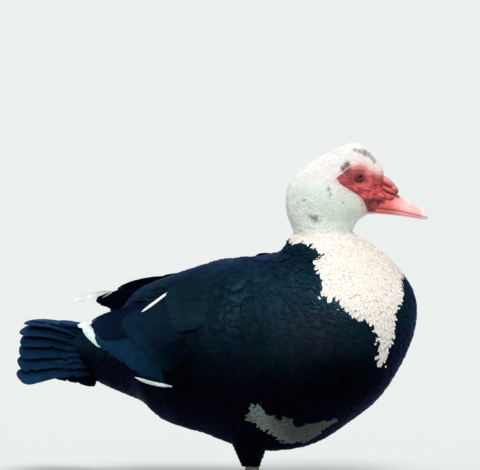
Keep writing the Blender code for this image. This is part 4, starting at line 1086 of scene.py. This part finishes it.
tail = {
    "rootX": -0.150, "rootZ": 0.172, "rootSpread": 0.016, "rootDrop": 0.034, "length": 0.092,
    "fan": 42, "roll": 40, "tipZ": 0.190, "tipDrop": 0.062, "bow": 0.006, "camber": 0.09,
    # count, spread over the fan, length, rise at root and tip, width, lean
    "tiers": {"Quills": (12, 1.0, 0.092, 0.0, 0.0, 0.040, 0.0012),
              "CovertsAbove": (15, 0.96, 0.052, 0.0050, 0.0014, 0.026, 0.0006),
              "CovertsTop": (15, 0.96, 0.037, 0.0084, 0.0032, 0.024, 0.0006),
              "CovertsBelow": (11, 0.95, 0.062, -0.0260, -0.0080, 0.032, 0.0012),
              "CovertsUnder": (11, 0.95, 0.044, -0.0255, -0.0130, 0.028, 0.0012)},
    "quillEnd": (-0.5, 0.65), "covertEnd": (0.1, 0.40),  # how pointed, and the root's share of the width
    # the tiers under the tail are painted twice as light, a painted light on their shaded side
    "belowPaintedLight": 2.0, "coreEnd": -0.196, "coreGap": 0.002, "coreRise": 0.012, "coreGrid": (14, 48),
}


def makeTailTier(tier, count, spread, length, rise, tipRise, width, lean):
    # vanes fanned about the root, rolled outward and lower towards the sides, bowed by a sine
    below = rise < 0
    place = np.linspace(-spread, spread, count)
    fan, size = math.radians(tail["fan"]) * place, np.abs(place)
    rootZ, tipZ = tail["rootZ"] - tail["rootDrop"] * size, tail["tipZ"] - tail["tipDrop"] * size ** 1.35
    root = np.stack([0 * place + tail["rootX"], tail["rootSpread"] * place, rootZ], -1)
    full = tail["length"] * (1 - 0.02 * size)
    tip = np.stack([root[:, 0] - full * np.cos(fan), full * np.sin(fan) + root[:, 1], tipZ], -1)
    share = vaneShares(count)
    loose = chance.random((count, 3)) - 0.5
    reach = share * length / tail["length"] * (1 + 0.03 * loose[:, :1])
    centre = root[:, None] + reach[..., None] * (tip - root)[:, None]
    centre[..., 2] += tail["bow"] * np.sin(math.pi * np.minimum(1, reach))
    roll = np.radians(tail["roll"]) * np.sign(place) * size ** 0.6
    normal = np.broadcast_to(np.stack([0 * roll, np.sin(roll), np.cos(roll)], -1)[:, None], centre.shape)
    lift = (rise + (tipRise - rise) * share) * (ease(-0.20, 0.22, share) if below else 1.0)
    centre = centre + normal * lift[..., None]
    end = tail["quillEnd"] if rise == 0 else tail["covertEnd"]
    half = vaneHalf(share, np.full(count, width) * (1 + 0.08 * loose[:, 1]), *end)
    half *= 1 - 0.06 * np.clip(wobble(share * 26, loose[:, 2:] * 50), 0, 1)
    tilt = -np.sign(place)[:, None] * lean * np.minimum(1, 0.3 + 1.4 * share)
    # lighter towards the tip, a painted shade at the covered root, and painted light on the tiers below
    light = (0.62 + 0.5 * share + 0.3 * loose[:, :1]) * (tail["belowPaintedLight"] if below else 1.0)
    tone = colour["tail"] * light[..., None]
    makeVanes(f"tail{tier}", "dark", "tail", centre, normal, half, tilt, half * tail["camber"], tone)


def makeTailRoot():
    # the body's last outline carried back, its width x (1 - 0.5 s) and its height x (1 - 0.8 s)
    rows, ring = tail["coreGrid"]
    last, share = bodyPoint(0.0, circle(ring)), np.linspace(0, 1, rows)
    middle, start, gap = last.mean(0), last[0, 0], tail["coreGap"]
    x = start + gap + share * (tail["coreEnd"] - start - gap)
    squeeze = np.stack([0 * share, 1 - 0.50 * share, 1 - 0.80 * share], -1)
    path = np.stack([x, 0 * x, middle[2] + tail["coreRise"] * share], -1)
    rings = (last - middle)[None] * squeeze[:, None] + path[:, None]
    makeTube("tailRoot", rings, "dark", np.tile(colour["blue"] * 0.8, (rows, ring, 1)), "dark_plumage", "tail")


for tier, settings in tail["tiers"].items():
    makeTailTier(tier, *settings)
makeTailRoot()
print("tail made")

face = {
    # places of the face seen from the side, before the head's turn: x, z, half length, half height, pitch, rise
    "lobes": [(0.1665, 0.3590, 0.0090, 0.0024, -24, 0.0008), (0.1788, 0.3582, 0.0098, 0.0026, -8, 0.0012),
              (0.1885, 0.3655, 0.0076, 0.0034, -14, 0.0012), (0.1770, 0.3500, 0.0080, 0.0026, -28, 0.0009),
              (0.1855, 0.3492, 0.0070, 0.0040, -20, 0.0014), (0.1905, 0.3400, 0.0046, 0.0062, 8, 0.0010),
              (0.1955, 0.3488, 0.0100, 0.0048, -6, 0.0022), (0.2060, 0.3478, 0.0090, 0.0034, -12, 0.0016),
              (0.1990, 0.3405, 0.0070, 0.0036, -8, 0.0010)],
    "sunk": 0.0012, "lobeGrid": (28, 40), "lobeRough": 0.07,  # how deep the lobes' middles lie in the head
    # x, y, z, half length, width and height, pitch, lightness of the painted highlight along the top
    "knobs": [(0.2052, 0.0, 0.3622, 0.0145, 0.0100, 0.0064, -36, 0.75),
              (0.2056, -0.0080, 0.3545, 0.0116, 0.0042, 0.0038, -22, 0.42),
              (0.2056, 0.0080, 0.3545, 0.0116, 0.0042, 0.0038, -22, 0.42),
              (0.2145, -0.0040, 0.3545, 0.0060, 0.0050, 0.0042, -40, 0.6),
              (0.2145, 0.0040, 0.3545, 0.0060, 0.0050, 0.0042, -40, 0.6)],
    "knobGrid": (48, 64), "knobRough": 0.08, "knobGrain": 0.0003,
}
bill = {
    "stations": 70, "half": 24,  # points along it, and across each side of the mouth line
    # x, heights of ridge, mouth and under side, half width
    "profile": [(0.1930, 0.3755, 0.3350, 0.3270, 0.0148), (0.1980, 0.3700, 0.3340, 0.3265, 0.0146),
                (0.2110, 0.3560, 0.3325, 0.3255, 0.0142), (0.2250, 0.3446, 0.3300, 0.3238, 0.0137),
                (0.2380, 0.3374, 0.3270, 0.3218, 0.0132), (0.2480, 0.3317, 0.3245, 0.3203, 0.0113),
                (0.2535, 0.3265, 0.3230, 0.3200, 0.0066)],
    "nostril": (0.2180, 0.3470, 0.0040, 0.0014), "nostrilDepth": 0.22, "nostrilShade": 0.85,
    "nailFrom": (0.2440, 0.2470), "nailTo": (0.2545, 0.2500), "nailHeight": 0.0011,
    "lamella": 0.00025, "lamellaStep": 0.0016, "lowerWidth": 0.92, "lowerGap": 0.0002, "lowerDrop": 0.0001,
    "redFrom": (0.2290, 0.2060), "paleFrom": (0.2440, 0.2485),
}


def sideWidth(x, z):
    # half width of the head at a place seen from the side, before its turn
    at = np.linspace(16.5, lastSection, 260)
    row = smoothRows(body["sections"], at)
    middle, half = (row[:, 0:2] + row[:, 2:4]) / 2, (row[:, 0:2] - row[:, 2:4]) / 2
    away = np.array([x, z]) - middle
    off = np.abs(half[:, 0] * away[:, 1] - half[:, 1] * away[:, 0]) / np.linalg.norm(half, axis=1)
    best = int(np.argmin(off))
    angle = math.acos(max(-1, min(1, (away[best] @ half[best]) / (half[best] @ half[best]))))
    return row[best, 4] * math.sin(angle) * (1 - row[best, 5] * math.cos(angle))


def blobPoints(centre, radii, pitch, rows, ring, rough):
    # ball with unequal radii, leaned by pitch, with an uneven surface: radius x (1 + rough x noise)
    v, u = np.meshgrid(np.linspace(0.02, math.pi - 0.02, rows), circle(ring), indexing="ij")
    p = np.stack([np.cos(v), np.sin(v) * np.cos(u), np.sin(v) * np.sin(u)], -1)
    x, y, z = np.moveaxis(p, -1, 0)
    bumps = 1 + rough * wobble(x * 3.1 + centre[0] * 900, y * 3.7, z * 4.3 + centre[2] * 700)
    x, y, z = np.moveaxis(p * np.array(radii) * bumps[..., None], -1, 0)
    c, s = math.cos(math.radians(pitch)), math.sin(math.radians(pitch))
    return np.stack([x * c - z * s, y, x * s + z * c], -1) + np.array(centre)


def fleshTone(p, raised):
    # deep red in the folds as painted shade, brighter on the lobes, pink where thin
    x, y, z = np.moveaxis(p, -1, 0)
    share = np.clip(0.35 + 0.55 * raised + 0.25 * wobble(x * 420, y * 380, z * 510), 0, 1)
    tone = mixed(colour["deepRed"], colour["red"], np.clip(share * 1.5, 0, 1))
    return tone + (colour["pink"] - tone) * 0.45 * np.clip((share - 0.6) * 2.5, 0, 1)[..., None]


def makeLobes():
    # uneven balls sunk into both sides of the head, brighter where they stand out
    pieces, tones, sunk = [], [], face["sunk"]
    for side in (-1, 1):
        for x, z, length, height, pitch, out in face["lobes"]:
            y = side * (sideWidth(x, z) - sunk)
            p = blobPoints((x, y, z), (length, out + sunk, height), pitch, *face["lobeGrid"], face["lobeRough"])
            raised = ease(0.0, out, np.abs(p[..., 1]) - abs(y))
            pieces.append(p)
            # times the painted shade of the face's folds
            tones.append(fleshTone(p, raised) * foldShade(p[..., 0], p[..., 2])[..., None])
    makeTube("faceLobes", turned(np.stack(pieces)), "flesh", np.stack(tones), "face_skin", "head")


def makeKnob():
    # a large ball and smaller ones at the root of the bill, grainy, pale along their tops as a painted highlight
    pieces, tones = [], []
    for x, y, z, length, width, height, pitch, light in face["knobs"]:
        p = blobPoints((x, y, z), (length, width, height), pitch, *face["knobGrid"], face["knobRough"])
        grains = face["knobGrain"] * wobble(p[..., 0] * 900, p[..., 1] * 800, p[..., 2] * 1000)
        p = p + grains[..., None] * unit(p - np.array([x, y, z]))
        # painted highlight along the top of each ball
        top = ease(-0.4, 0.9, (p[..., 2] - z + 0.5 * (p[..., 0] - x)) / height) * light
        pieces.append(p)
        tones.append(mixed(fleshTone(p, top), colour["billPale"] * 0.85, 0.75 * top ** 1.5))
    makeTube("knob", turned(np.stack(pieces)), "flesh", np.stack(tones), "face_skin", "head")


def billTone(p, top):
    # pink, redder at the base, paler along the ridge as a painted highlight, grey-white nail
    x, z = p[..., 0], p[..., 2]
    tone = mixed(colour["billPink"], colour["billPale"], top * (0.5 + 0.3 * wobble(x * 200, z * 260)))
    tone = mixed(tone, colour["base"], 0.92 * ease(*bill["redFrom"], x))
    return mixed(tone, colour["nail"], 0.85 * ease(*bill["paleFrom"], x))


def upperArch(x, ridge, mouth, width, a):
    # y = width cos(a) (1 - 0.1 sin(a) squared), z = mouth + (ridge - mouth) sin(a) to the power of 0.8,
    # raised at the nail, narrowed in the nostril's pit and in a groove above the mouth
    y, z = width * np.cos(a) * (1 - 0.10 * np.sin(a) ** 2), mouth + (ridge - mouth) * np.sin(a) ** 0.8
    arch = together(x, y, z)
    nail = ease(*bill["nailFrom"], x) * ease(*bill["nailTo"], x)
    uneven = 0.00012 * wobble(x * 260, a * 3)
    arch[..., 2] += (bill["nailHeight"] * nail + uneven) * ease(0.45, 0.9, np.sin(a))
    nx, nz, long, high = bill["nostril"]
    pit = np.exp(-(((x - nx) / long) ** 4) - ((arch[..., 2] - nz - 0.25 * (nx - x)) / high / 1.3) ** 4)
    groove = np.exp(-((arch[..., 2] - mouth - 0.0012) / 0.0007) ** 2)
    arch[..., 1] *= 1 - bill["nostrilDepth"] * pit
    arch[..., 1] *= 1 - 0.02 * groove
    return arch, pit


def makeBill():
    # both halves: an arch from rim to rim, then back along the mouth with fine lamellae at the rims
    row = smoothRows(bill["profile"], np.linspace(0, len(bill["profile"]) - 1, bill["stations"]))
    x, ridge, mouth, under, width = (row[:, k:k + 1] for k in range(5))
    a = np.linspace(0, math.pi, bill["half"] + 1)[None]
    flat = np.linspace(1, -1, bill["half"] + 1)[None, 1:-1]
    lamella = bill["lamella"] * np.sin(x * 2 * math.pi / bill["lamellaStep"]) * ease(0.75, 0.98, np.abs(flat))
    arch, pit = upperArch(x, ridge, mouth, width, a)
    rings = np.concatenate([arch, together(x, -width * flat, mouth + lamella)], 1)
    roof = np.zeros(lamella.shape)
    top = np.concatenate([np.broadcast_to(np.sin(a) ** 2, pit.shape), roof], 1)
    hole = np.concatenate([pit, roof], 1)
    # painted shade in the nostril's pit
    tone = billTone(rings, top) * (1 - bill["nostrilShade"] * hole)[..., None]
    makeTube("billUpper", turned(rings), "bill", tone, "bill_horn", "bill_upper")
    width = width * bill["lowerWidth"]
    arch = together(x, width * np.cos(a), mouth + (under - mouth) * np.sin(a) ** 0.6)
    rings = np.concatenate([arch, together(x, -width * flat, mouth - bill["lowerGap"] + lamella)], 1)
    rings[..., 2] -= bill["lowerDrop"]
    rings = rings[:, ::-1]
    tone = billTone(rings, np.zeros(rings.shape[:2]))
    makeTube("billLower", turned(rings), "bill", tone, "bill_horn", "bill_lower")


def eyeFrame(side):
    # the head's surface y = width(x, z) at the eye: place, outward (-slope in x, 1, -slope in z), forward, upward
    x, z, small = eye["x"], eye["z"], 0.003
    alongX = (sideWidth(x + small, z) - sideWidth(x - small, z)) / (2 * small)
    alongZ = (sideWidth(x, z + small) - sideWidth(x, z - small)) / (2 * small)
    out = unit(np.array([-alongX, side, -alongZ]))
    forward = unit(np.array([1.0, 0, 0]) - out * out[0])
    up = np.cross(out, forward)
    return np.array([x, side * sideWidth(x, z), z]), out, forward, up * np.sign(up[2])


def makeEyeball(name, centre, outward, forward, upward):
    # ball with v from the middle of the eye: radius x (1 + cornea exp(-(v / its width) squared))
    v, u = np.meshgrid(np.linspace(0.002, math.pi - 0.002, 80), circle(64), indexing="ij")
    bulge = 1 + eye["cornea"] * np.exp(-(v / eye["corneaWide"]) ** 2)
    level, tall = (np.sin(v) * np.cos(u))[..., None], (np.sin(v) * np.sin(u))[..., None]
    p = level * forward + np.cos(v)[..., None] * outward + tall * upward
    iris = colour["iris"] * (0.75 + 0.25 * wobble(u * 9, v * 4))[..., None]
    tone = colour["pupil"] + (iris - colour["pupil"][0]) * ease(*eye["pupilEdge"], v)[..., None]
    tone = mixed(tone, colour["eyeRim"], ease(*eye["irisEdge"], v))
    rings = centre + p * (eye["radius"] * bulge)[..., None]
    makeTube(f"eye{name}", turned(rings), "eye", tone, "eye_gloss", f"eye_{name.lower()}")


def makeLids(name, centre, outward, forward, upward):
    # a fold round an almond, on a ball just outside the eye, thicker below
    u, w = circle(96), circle(14)[None, :, None]
    ox = eye["lidLong"] * np.cos(u)
    oz = eye["lidHigh"] * np.sin(u) * np.abs(np.sin(u)) ** 0.15 - eye["lidSlant"] * np.cos(u)
    out = np.sqrt(np.maximum((eye["radius"] + eye["lidOut"]) ** 2 - ox ** 2 - oz ** 2, 0))
    path = centre + ox[:, None] * forward + out[:, None] * outward + oz[:, None] * upward
    away = unit(path - centre)
    rim = unit(np.cross(unit(np.roll(path, -1, 0) - np.roll(path, 1, 0)), away))
    thick = eye["lidThick"] + eye["lidBelow"] * (np.sin(u) < 0) + 0.0001 * wobble(u * 6, u * 2)
    reach = np.cos(w) * away[:, None] + np.sin(w) * rim[:, None] * eye["lidWide"]
    rings = path[:, None] + thick[:, None, None] * reach
    rows, ring = rings.shape[:2]
    quads = gridQuads(rows + 1, ring) % (rows * ring)  # the last ring joins the first
    tone = fleshTone(rings, np.full((rows, ring), 0.1)) * 0.45
    made = makeMesh(f"lids{name}", turned(rings), quads, finish["flesh"], None, {"tone": tone})
    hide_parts("head")


def makeEyes():
    # each ball is set into the head along the head's own normal there
    for side, name in ((-1, "Right"), (1, "Left")):
        place, outward, forward, upward = eyeFrame(side)
        centre = place - outward * eye["setIn"]
        makeEyeball(name, centre, outward, forward, upward)
        makeLids(name, centre, outward, forward, upward)


makeLobes()
makeKnob()
makeBill()
makeEyes()
print("face made")

legs = {
    "right": {"side": -1, "footX": 0.069, "hockX": 0.061},
    "left": {"side": 1, "footX": 0.020, "hockX": 0.026},
    "y": 0.042, "ring": 40,
    "shank": {"top": 0.010, "end": 0.006, "radius": 0.0066, "stations": 90,
              "scutes": 11, "scuteDepth": 0.00035},
    # angle from straight ahead, length, thickness at root and tip
    "toes": {"inner": (-25, 0.052, 0.0052, 0.0036), "middle": (-2, 0.070, 0.0056, 0.0038),
             "outer": (22, 0.063, 0.0052, 0.0036)},
    "hind": (155, 0.017, 0.0038, 0.0026), "joints": (0.30, 0.56, 0.80), "jointSwell": 0.16,
    "toeStations": 70, "hindStations": 40,
    "toeScutes": (16, 0.00028), "hindScutes": (8, 0.0003),  # count, depth
    "ankle": (0.0092, 0.0086, 0.0088), "ankleZ": 0.0088, "ankleGrid": (30, 40), "ankleRough": 0.04,
    "claw": (0.0115, 0.0027),  # length and thickness
    "clawGrid": (30, 24), "clawFloor": 0.0003,
    "web": {"reach": 0.88, "hollow": 0.13, "top": 0.0028, "under": 0.0011, "fold": 0.0006,
            "across": 49, "out": 40},
}


def tubeRings(path, radius, ring):
    # circles across a path, kept level: across = along x up. radius is one for each station or each point
    along = unit(np.gradient(path, axis=0))
    guide = np.array([0, 0, 1.0]) if abs(along[0, 2]) < 0.8 else np.array([1.0, 0, 0])
    across = unit(np.cross(along, guide))
    up = unit(np.cross(across, along))
    w = circle(ring)[None, :, None]
    radius = np.broadcast_to(radius if radius.ndim == 2 else radius[:, None], (len(path), ring))
    return path[:, None] + radius[..., None] * (np.cos(w) * up[:, None] - np.sin(w) * across[:, None])


def legTone(p, pale):
    # uneven olive grey, paler on the raised ends of the scutes
    noise = wobble(p[..., 0] * 160, p[..., 1] * 190, p[..., 2] * 150)
    return colour["leg"] * (0.95 + 0.45 * noise + 0.5 * pale)[..., None]


def heading(turn, side):
    # level unit vector turned outward from straight ahead
    return np.array([math.cos(math.radians(turn)), side * math.sin(math.radians(turn)), 0])


def makeShank(name, hock, foot):
    # scutes down the front as a saw of the height, small plates behind
    shank, w = legs["shank"], circle(legs["ring"])
    share = np.linspace(0, 1, shank["stations"])
    top = (0, 0, shank["top"])
    path = hock + top + share[:, None] * (foot + (0, 0, shank["end"]) - hock - top)
    swell = 0.0012 * np.exp(-((share - 0.22) / 0.14) ** 2)
    radius = shank["radius"] + swell + 0.0014 * ease(0.78, 1, share)
    saw = (share * shank["scutes"]) % 1
    front = np.clip(np.cos(w), 0, 1)[None] ** 0.5
    behind = 0.0002 * (1 - front) * np.sin(share * 130)[:, None] * np.sin(w * 9)[None]
    plates = shank["scuteDepth"] * (1 - saw)[:, None] * front + behind
    rings = tubeRings(path, radius[:, None] + plates, len(w))
    tone = legTone(rings, 1 - np.tile(saw[:, None], (1, len(w))))
    makeTube(f"shank{name.capitalize()}", rings, "leg", tone, "leg_skin", f"shank_{name}")


def makeToe(name, toe, path, radius, scutes, depth, pale):
    # a tube with a saw of scutes on top, flat on the floor
    facing = np.clip(np.cos(circle(legs["ring"])), 0, 1)[None]
    saw = ((np.linspace(0, 1, len(path)) * scutes) % 1)[:, None]
    rings = tubeRings(path, radius[:, None] + depth * (1 - saw) * facing, legs["ring"])
    rings[..., 2] = np.maximum(rings[..., 2], 0.0)
    tone = legTone(rings, pale * (1 - np.tile(saw, (1, legs["ring"]))))
    makeTube(f"toe{name.capitalize()}{toe}", rings, "leg", tone, "leg_skin", f"foot_{name}")


def makeToes(name, side, foot):
    # tapering paths from the foot, swollen at the joints, with a short hind toe that comes down from behind
    ends, share = [], np.linspace(0, 1, legs["toeStations"])
    joints = 1 + legs["jointSwell"] * sum(np.exp(-((share - j) / 0.05) ** 2) for j in legs["joints"])
    for toe, (turn, length, thick, thin) in legs["toes"].items():
        direction = heading(turn, side)
        radius = (thick + (thin - thick) * share) * joints * np.sqrt(np.clip((1.02 - share) / 0.06, 0.05, 1))
        height = radius * 0.93 + 0.0002 + 0.0030 * (1 - share) ** 3
        path = foot + direction * (length * share)[:, None] + upBy(height)
        makeToe(name, toe.capitalize(), path, radius, *legs["toeScutes"], 1)
        ends.append((direction, length, thin))
    turn, length, thick, thin = legs["hind"]
    direction, share = heading(turn, side), np.linspace(0, 1, legs["hindStations"])
    radius = (thick + (thin - thick) * share) * np.sqrt(np.clip((1.03 - share) / 0.10, 0.05, 1))
    path = foot + direction * (length * share)[:, None] + upBy(0.0090 - 0.0060 * share ** 1.4)
    makeToe(name, "Hind", path, radius, *legs["hindScutes"], 0)
    return ends + [(direction, length, thin)]


def makeAnkle(name, foot):
    # a ball where the toes meet, flat on the floor
    centre = tuple(foot + (0, 0, legs["ankleZ"]))
    rings = blobPoints(centre, legs["ankle"], 0, *legs["ankleGrid"], legs["ankleRough"])
    rings[..., 2] = np.maximum(rings[..., 2], 0.0)
    tone = legTone(rings, np.zeros(rings.shape[:2]))
    makeTube(f"ankle{name.capitalize()}", rings, "leg", tone, "leg_skin", f"foot_{name}")


def makeWeb(name, side, foot, toes):
    # edge = straight reach between toe ends, pulled in by a sine between the toes, with fine folds
    web = legs["web"]
    t = np.linspace(0, 2, web["across"])
    lower = np.minimum(t.astype(int), 1)
    part = t - lower
    tips = np.array([direction * length * web["reach"] for direction, length, _ in toes])
    between = np.sin(math.pi * part)
    edge = tips[lower] * (1 - part)[:, None] + tips[lower + 1] * part[:, None]
    edge = edge * (1 - web["hollow"] * between)[:, None]
    reach = np.linspace(0.04, 1, web["out"])
    sheet = foot + reach[:, None, None] * edge[None]
    waves = web["fold"] * np.sin(reach[:, None] * 9 + part[None] * 22) * reach[:, None]
    fold = between[None] * waves
    top = sheet + upBy(web["top"] + fold * 0.8 - 0.0008 * between[None])
    under = sheet + upBy(web["under"] + fold * 0.8 - 0.0008 * between[None] * 0.5)
    rings = np.concatenate([top, under[:, ::-1]], 1)[:, ::-side]
    light = 1 + 0.35 * wobble(rings[..., 0] * 300, rings[..., 1] * 260)
    tone = np.tile(colour["web"], (*rings.shape[:2], 1)) * light[..., None]
    makeTube(f"web{name.capitalize()}", rings, "leg", tone, "leg_skin", f"foot_{name}")


def makeClaws(name, foot, toes):
    # tapering and bowed, from just inside the end of each toe
    long, wide = legs["claw"]
    rows, ring = legs["clawGrid"]
    share = np.linspace(0, 1, rows)
    for number, (direction, length, thin) in enumerate(toes, 1):
        radius = np.minimum(wide, thin * 0.80) * (1 - share) ** 0.7 + 0.00035
        rise = thin * 0.95 + 0.0016 * np.sin(math.pi * share) - (thin * 0.95 - 0.0010) * share ** 1.5
        path = foot + direction * (length - 0.002 + (long + 0.001) * share)[:, None] + upBy(rise)
        rings = tubeRings(path, radius, ring)
        rings[..., 2] = np.maximum(rings[..., 2], legs["clawFloor"])
        tone = colour["claw"] * (0.8 + 0.7 * share)[:, None, None] * np.ones((rows, ring, 1))
        piece, node = f"claw{name.capitalize()}{number}", f"claw_{name}_{number}"
        makeTube(piece, rings, "claw", tone, "claw_horn", node)


def makeLeg(name):
    # shank from hock to foot, toes, ankle, web and claws
    leg = legs[name]
    foot = np.array([leg["footX"], leg["side"] * legs["y"], 0.0])
    hock = np.array([leg["hockX"], leg["side"] * legs["y"], thigh["endZ"]])
    makeShank(name, hock, foot)
    toes = makeToes(name, leg["side"], foot)
    makeAnkle(name, foot)
    makeWeb(name, leg["side"], foot, toes[:-1])
    makeClaws(name, foot, toes)


thigh = {
    "topZ": 0.112, "endZ": 0.041, "topRadius": 0.036, "endRadius": 0.0120, "topBack": 0.006, "topOut": 0.004,
    "inset": 0.003, "coreGrid": (40, 48),
    "levels": 14, "around": 34, "from": 0.10, "to": 0.90, "stagger": 17.5,  # rings of feathers down the leg
    "long": 0.17, "sunk": -0.0028, "lift": 0.0032, "half": (0.0050, 0.0022), "roll": 0.3, "barbLength": 0.012,
}


def makeThigh(name):
    # a smooth tapering core, and short feathers in rings round it that lie down the leg
    side, hockX, cap = legs[name]["side"], legs[name]["hockX"], name.capitalize()
    top = np.array([hockX - thigh["topBack"], side * (legs["y"] + thigh["topOut"]), thigh["topZ"]])
    end = np.array([hockX, side * legs["y"], thigh["endZ"]])
    rows, ring = thigh["coreGrid"]
    share, taper = np.linspace(0, 1, rows), thigh["endRadius"] - thigh["topRadius"]
    radius = thigh["topRadius"] + taper * share
    radius = (radius - thigh["inset"]) * np.sqrt(np.clip((1.04 - share) / 0.10, 0.1, 1))
    core = tubeRings(top + share[:, None] * (end - top), radius, ring)
    tone = np.tile(colour["black"], (rows, ring, 1))
    makeTube(f"thigh{cap}", core, "skin", tone, "dark_plumage", f"thigh_{name}")
    places = np.linspace(thigh["from"], thigh["to"], thigh["levels"])
    levels, around = (v.ravel() for v in np.meshgrid(places, np.arange(thigh["around"]), indexing="ij"))
    jitter = chance.random((len(levels), 3)) - 0.5
    stagger = 0.5 * (np.round(levels * thigh["stagger"]) % 2)
    w = (around + stagger + 0.5 * jitter[:, 0]) * 2 * math.pi / thigh["around"]
    steps = len(outlines["round"])
    share = featherShares(steps)
    down = levels[:, None] + 0.02 * jitter[:, 1:2] + share[None] * thigh["long"]
    radius = thigh["topRadius"] + taper * down
    height = thigh["sunk"] + thigh["lift"] * share[None] ** 0.8
    outward = np.stack([np.cos(w), np.sin(w), 0 * w], -1)[:, None]
    centre = top + down[..., None] * (end - top) + outward * (radius + height)[..., None]
    normal = np.broadcast_to(outward, centre.shape)
    half = (thigh["half"][0] - thigh["half"][1] * levels)[:, None] * np.array(outlines["round"])[None]
    roll = thigh["roll"] * jitter[:, 2:3] * np.ones((1, steps))
    rings = featherRings(centre, normal, unit(np.gradient(centre, axis=1)), half, 0.03 * half + 0.00016, roll)
    seed = np.repeat(jitter[:, :1] + 0.5, steps, 1)
    tone = np.repeat(darkTone(centre, seed)[:, :, None], len(ringAcross), 2)
    reach = half[..., None] * ringAcross
    barbPlace = together((share * thigh["barbLength"])[None, :, None], reach, seed[..., None])
    uv = together(((w / (2 * math.pi)) % 1)[:, None, None] + reach * 0.3, (down * 0.9)[..., None])
    makeFeathers(f"thighFeathers{cap}", rings, "dark", tone, barbPlace, uv, 3, f"thigh_{name}")


for name in ("right", "left"):
    makeThigh(name)
    makeLeg(name)
print("legs made")

stage = {
    "floor": (0.50, 0.52, 0.52, 1), "floorRadii": (0.001, 0.5, 3, 12, 40), "floorZ": -0.0003,
    "sky": (0.97, 0.985, 1.0, 1), "skyStrength": 0.66,
    # direction towards the sun, strength, apparent width in degrees, colour
    "suns": {"keySun": ((0.42, -0.74, 0.95), 3.3, 16, (1.0, 0.97, 0.93)),
             "fillSun": ((-0.7, -0.6, 0.8), 0.75, 60, (0.95, 0.97, 1.0)),
             "rimSun": ((-0.3, 0.9, 0.8), 0.5, 40, (0.9, 0.95, 1.0))},
    "fieldWidth": 0.552,  # metres across the picture at the target
    "target": (0.028, 0.0, 0.2978), "azimuth": 25, "elevation": 5, "distance": 16.0,
    "sensorWidth": 36, "clip": (0.5, 80),
}


def linked(name, data):
    # an object of the data, in the scene
    made = bpy.data.objects.new(name, data)
    bpy.context.scene.collection.objects.link(made)
    return made


def makeFloor():
    # level rings out to 40 m, closed by a small face in the middle
    w = circle(96)
    radii = np.array(stage["floorRadii"])[:, None]
    points = together(radii * np.cos(w), radii * np.sin(w), stage["floorZ"]).reshape(-1, 3)
    faces = [*gridQuads(len(radii), len(w))[:, ::-1].tolist(), list(range(len(w)))]
    made, _, _ = newMaterial("paleFloor", Base_Color=stage["floor"], Roughness=0.9, Specular_IOR_Level=0.1)
    mesh = bpy.data.meshes.new("floor")
    mesh.from_pydata(points.tolist(), [], faces)
    mesh.materials.append(made)
    linked("floor", mesh)


def makeLights():
    # an even pale sky and three soft suns
    world = bpy.data.worlds.new("softRoom")
    bpy.context.scene.world = world
    world.use_nodes = True
    sky = world.node_tree.nodes["Background"]
    sky.inputs["Color"].default_value = stage["sky"]
    sky.inputs["Strength"].default_value = stage["skyStrength"]
    for name, (towards, strength, wide, tint) in stage["suns"].items():
        lamp = bpy.data.lights.new(name, "SUN")
        lamp.energy, lamp.angle, lamp.color = strength, math.radians(wide), tint
        linked(name, lamp).rotation_euler = (-Vector(towards)).to_track_quat("-Z", "Y").to_euler()


def makeCamera():
    # at the distance from the target, azimuth from the bird's right side towards its front
    azimuth, elevation = math.radians(stage["azimuth"]), math.radians(stage["elevation"])
    level = math.cos(elevation)
    back = Vector((math.sin(azimuth) * level, -math.cos(azimuth) * level, math.sin(elevation)))
    data = bpy.data.cameras.new("camera")
    data.sensor_width = stage["sensorWidth"]
    data.lens = stage["sensorWidth"] * stage["distance"] / stage["fieldWidth"]
    data.clip_start, data.clip_end = stage["clip"]
    camera = linked("camera", data)
    camera.location = Vector(stage["target"]) + back * stage["distance"]
    camera.rotation_euler = (-back).to_track_quat("-Z", "Y").to_euler()
    bpy.context.scene.camera = camera
    bpy.context.scene.view_settings.view_transform = "Standard"


makeFloor()
makeLights()
makeCamera()
print("stage made")
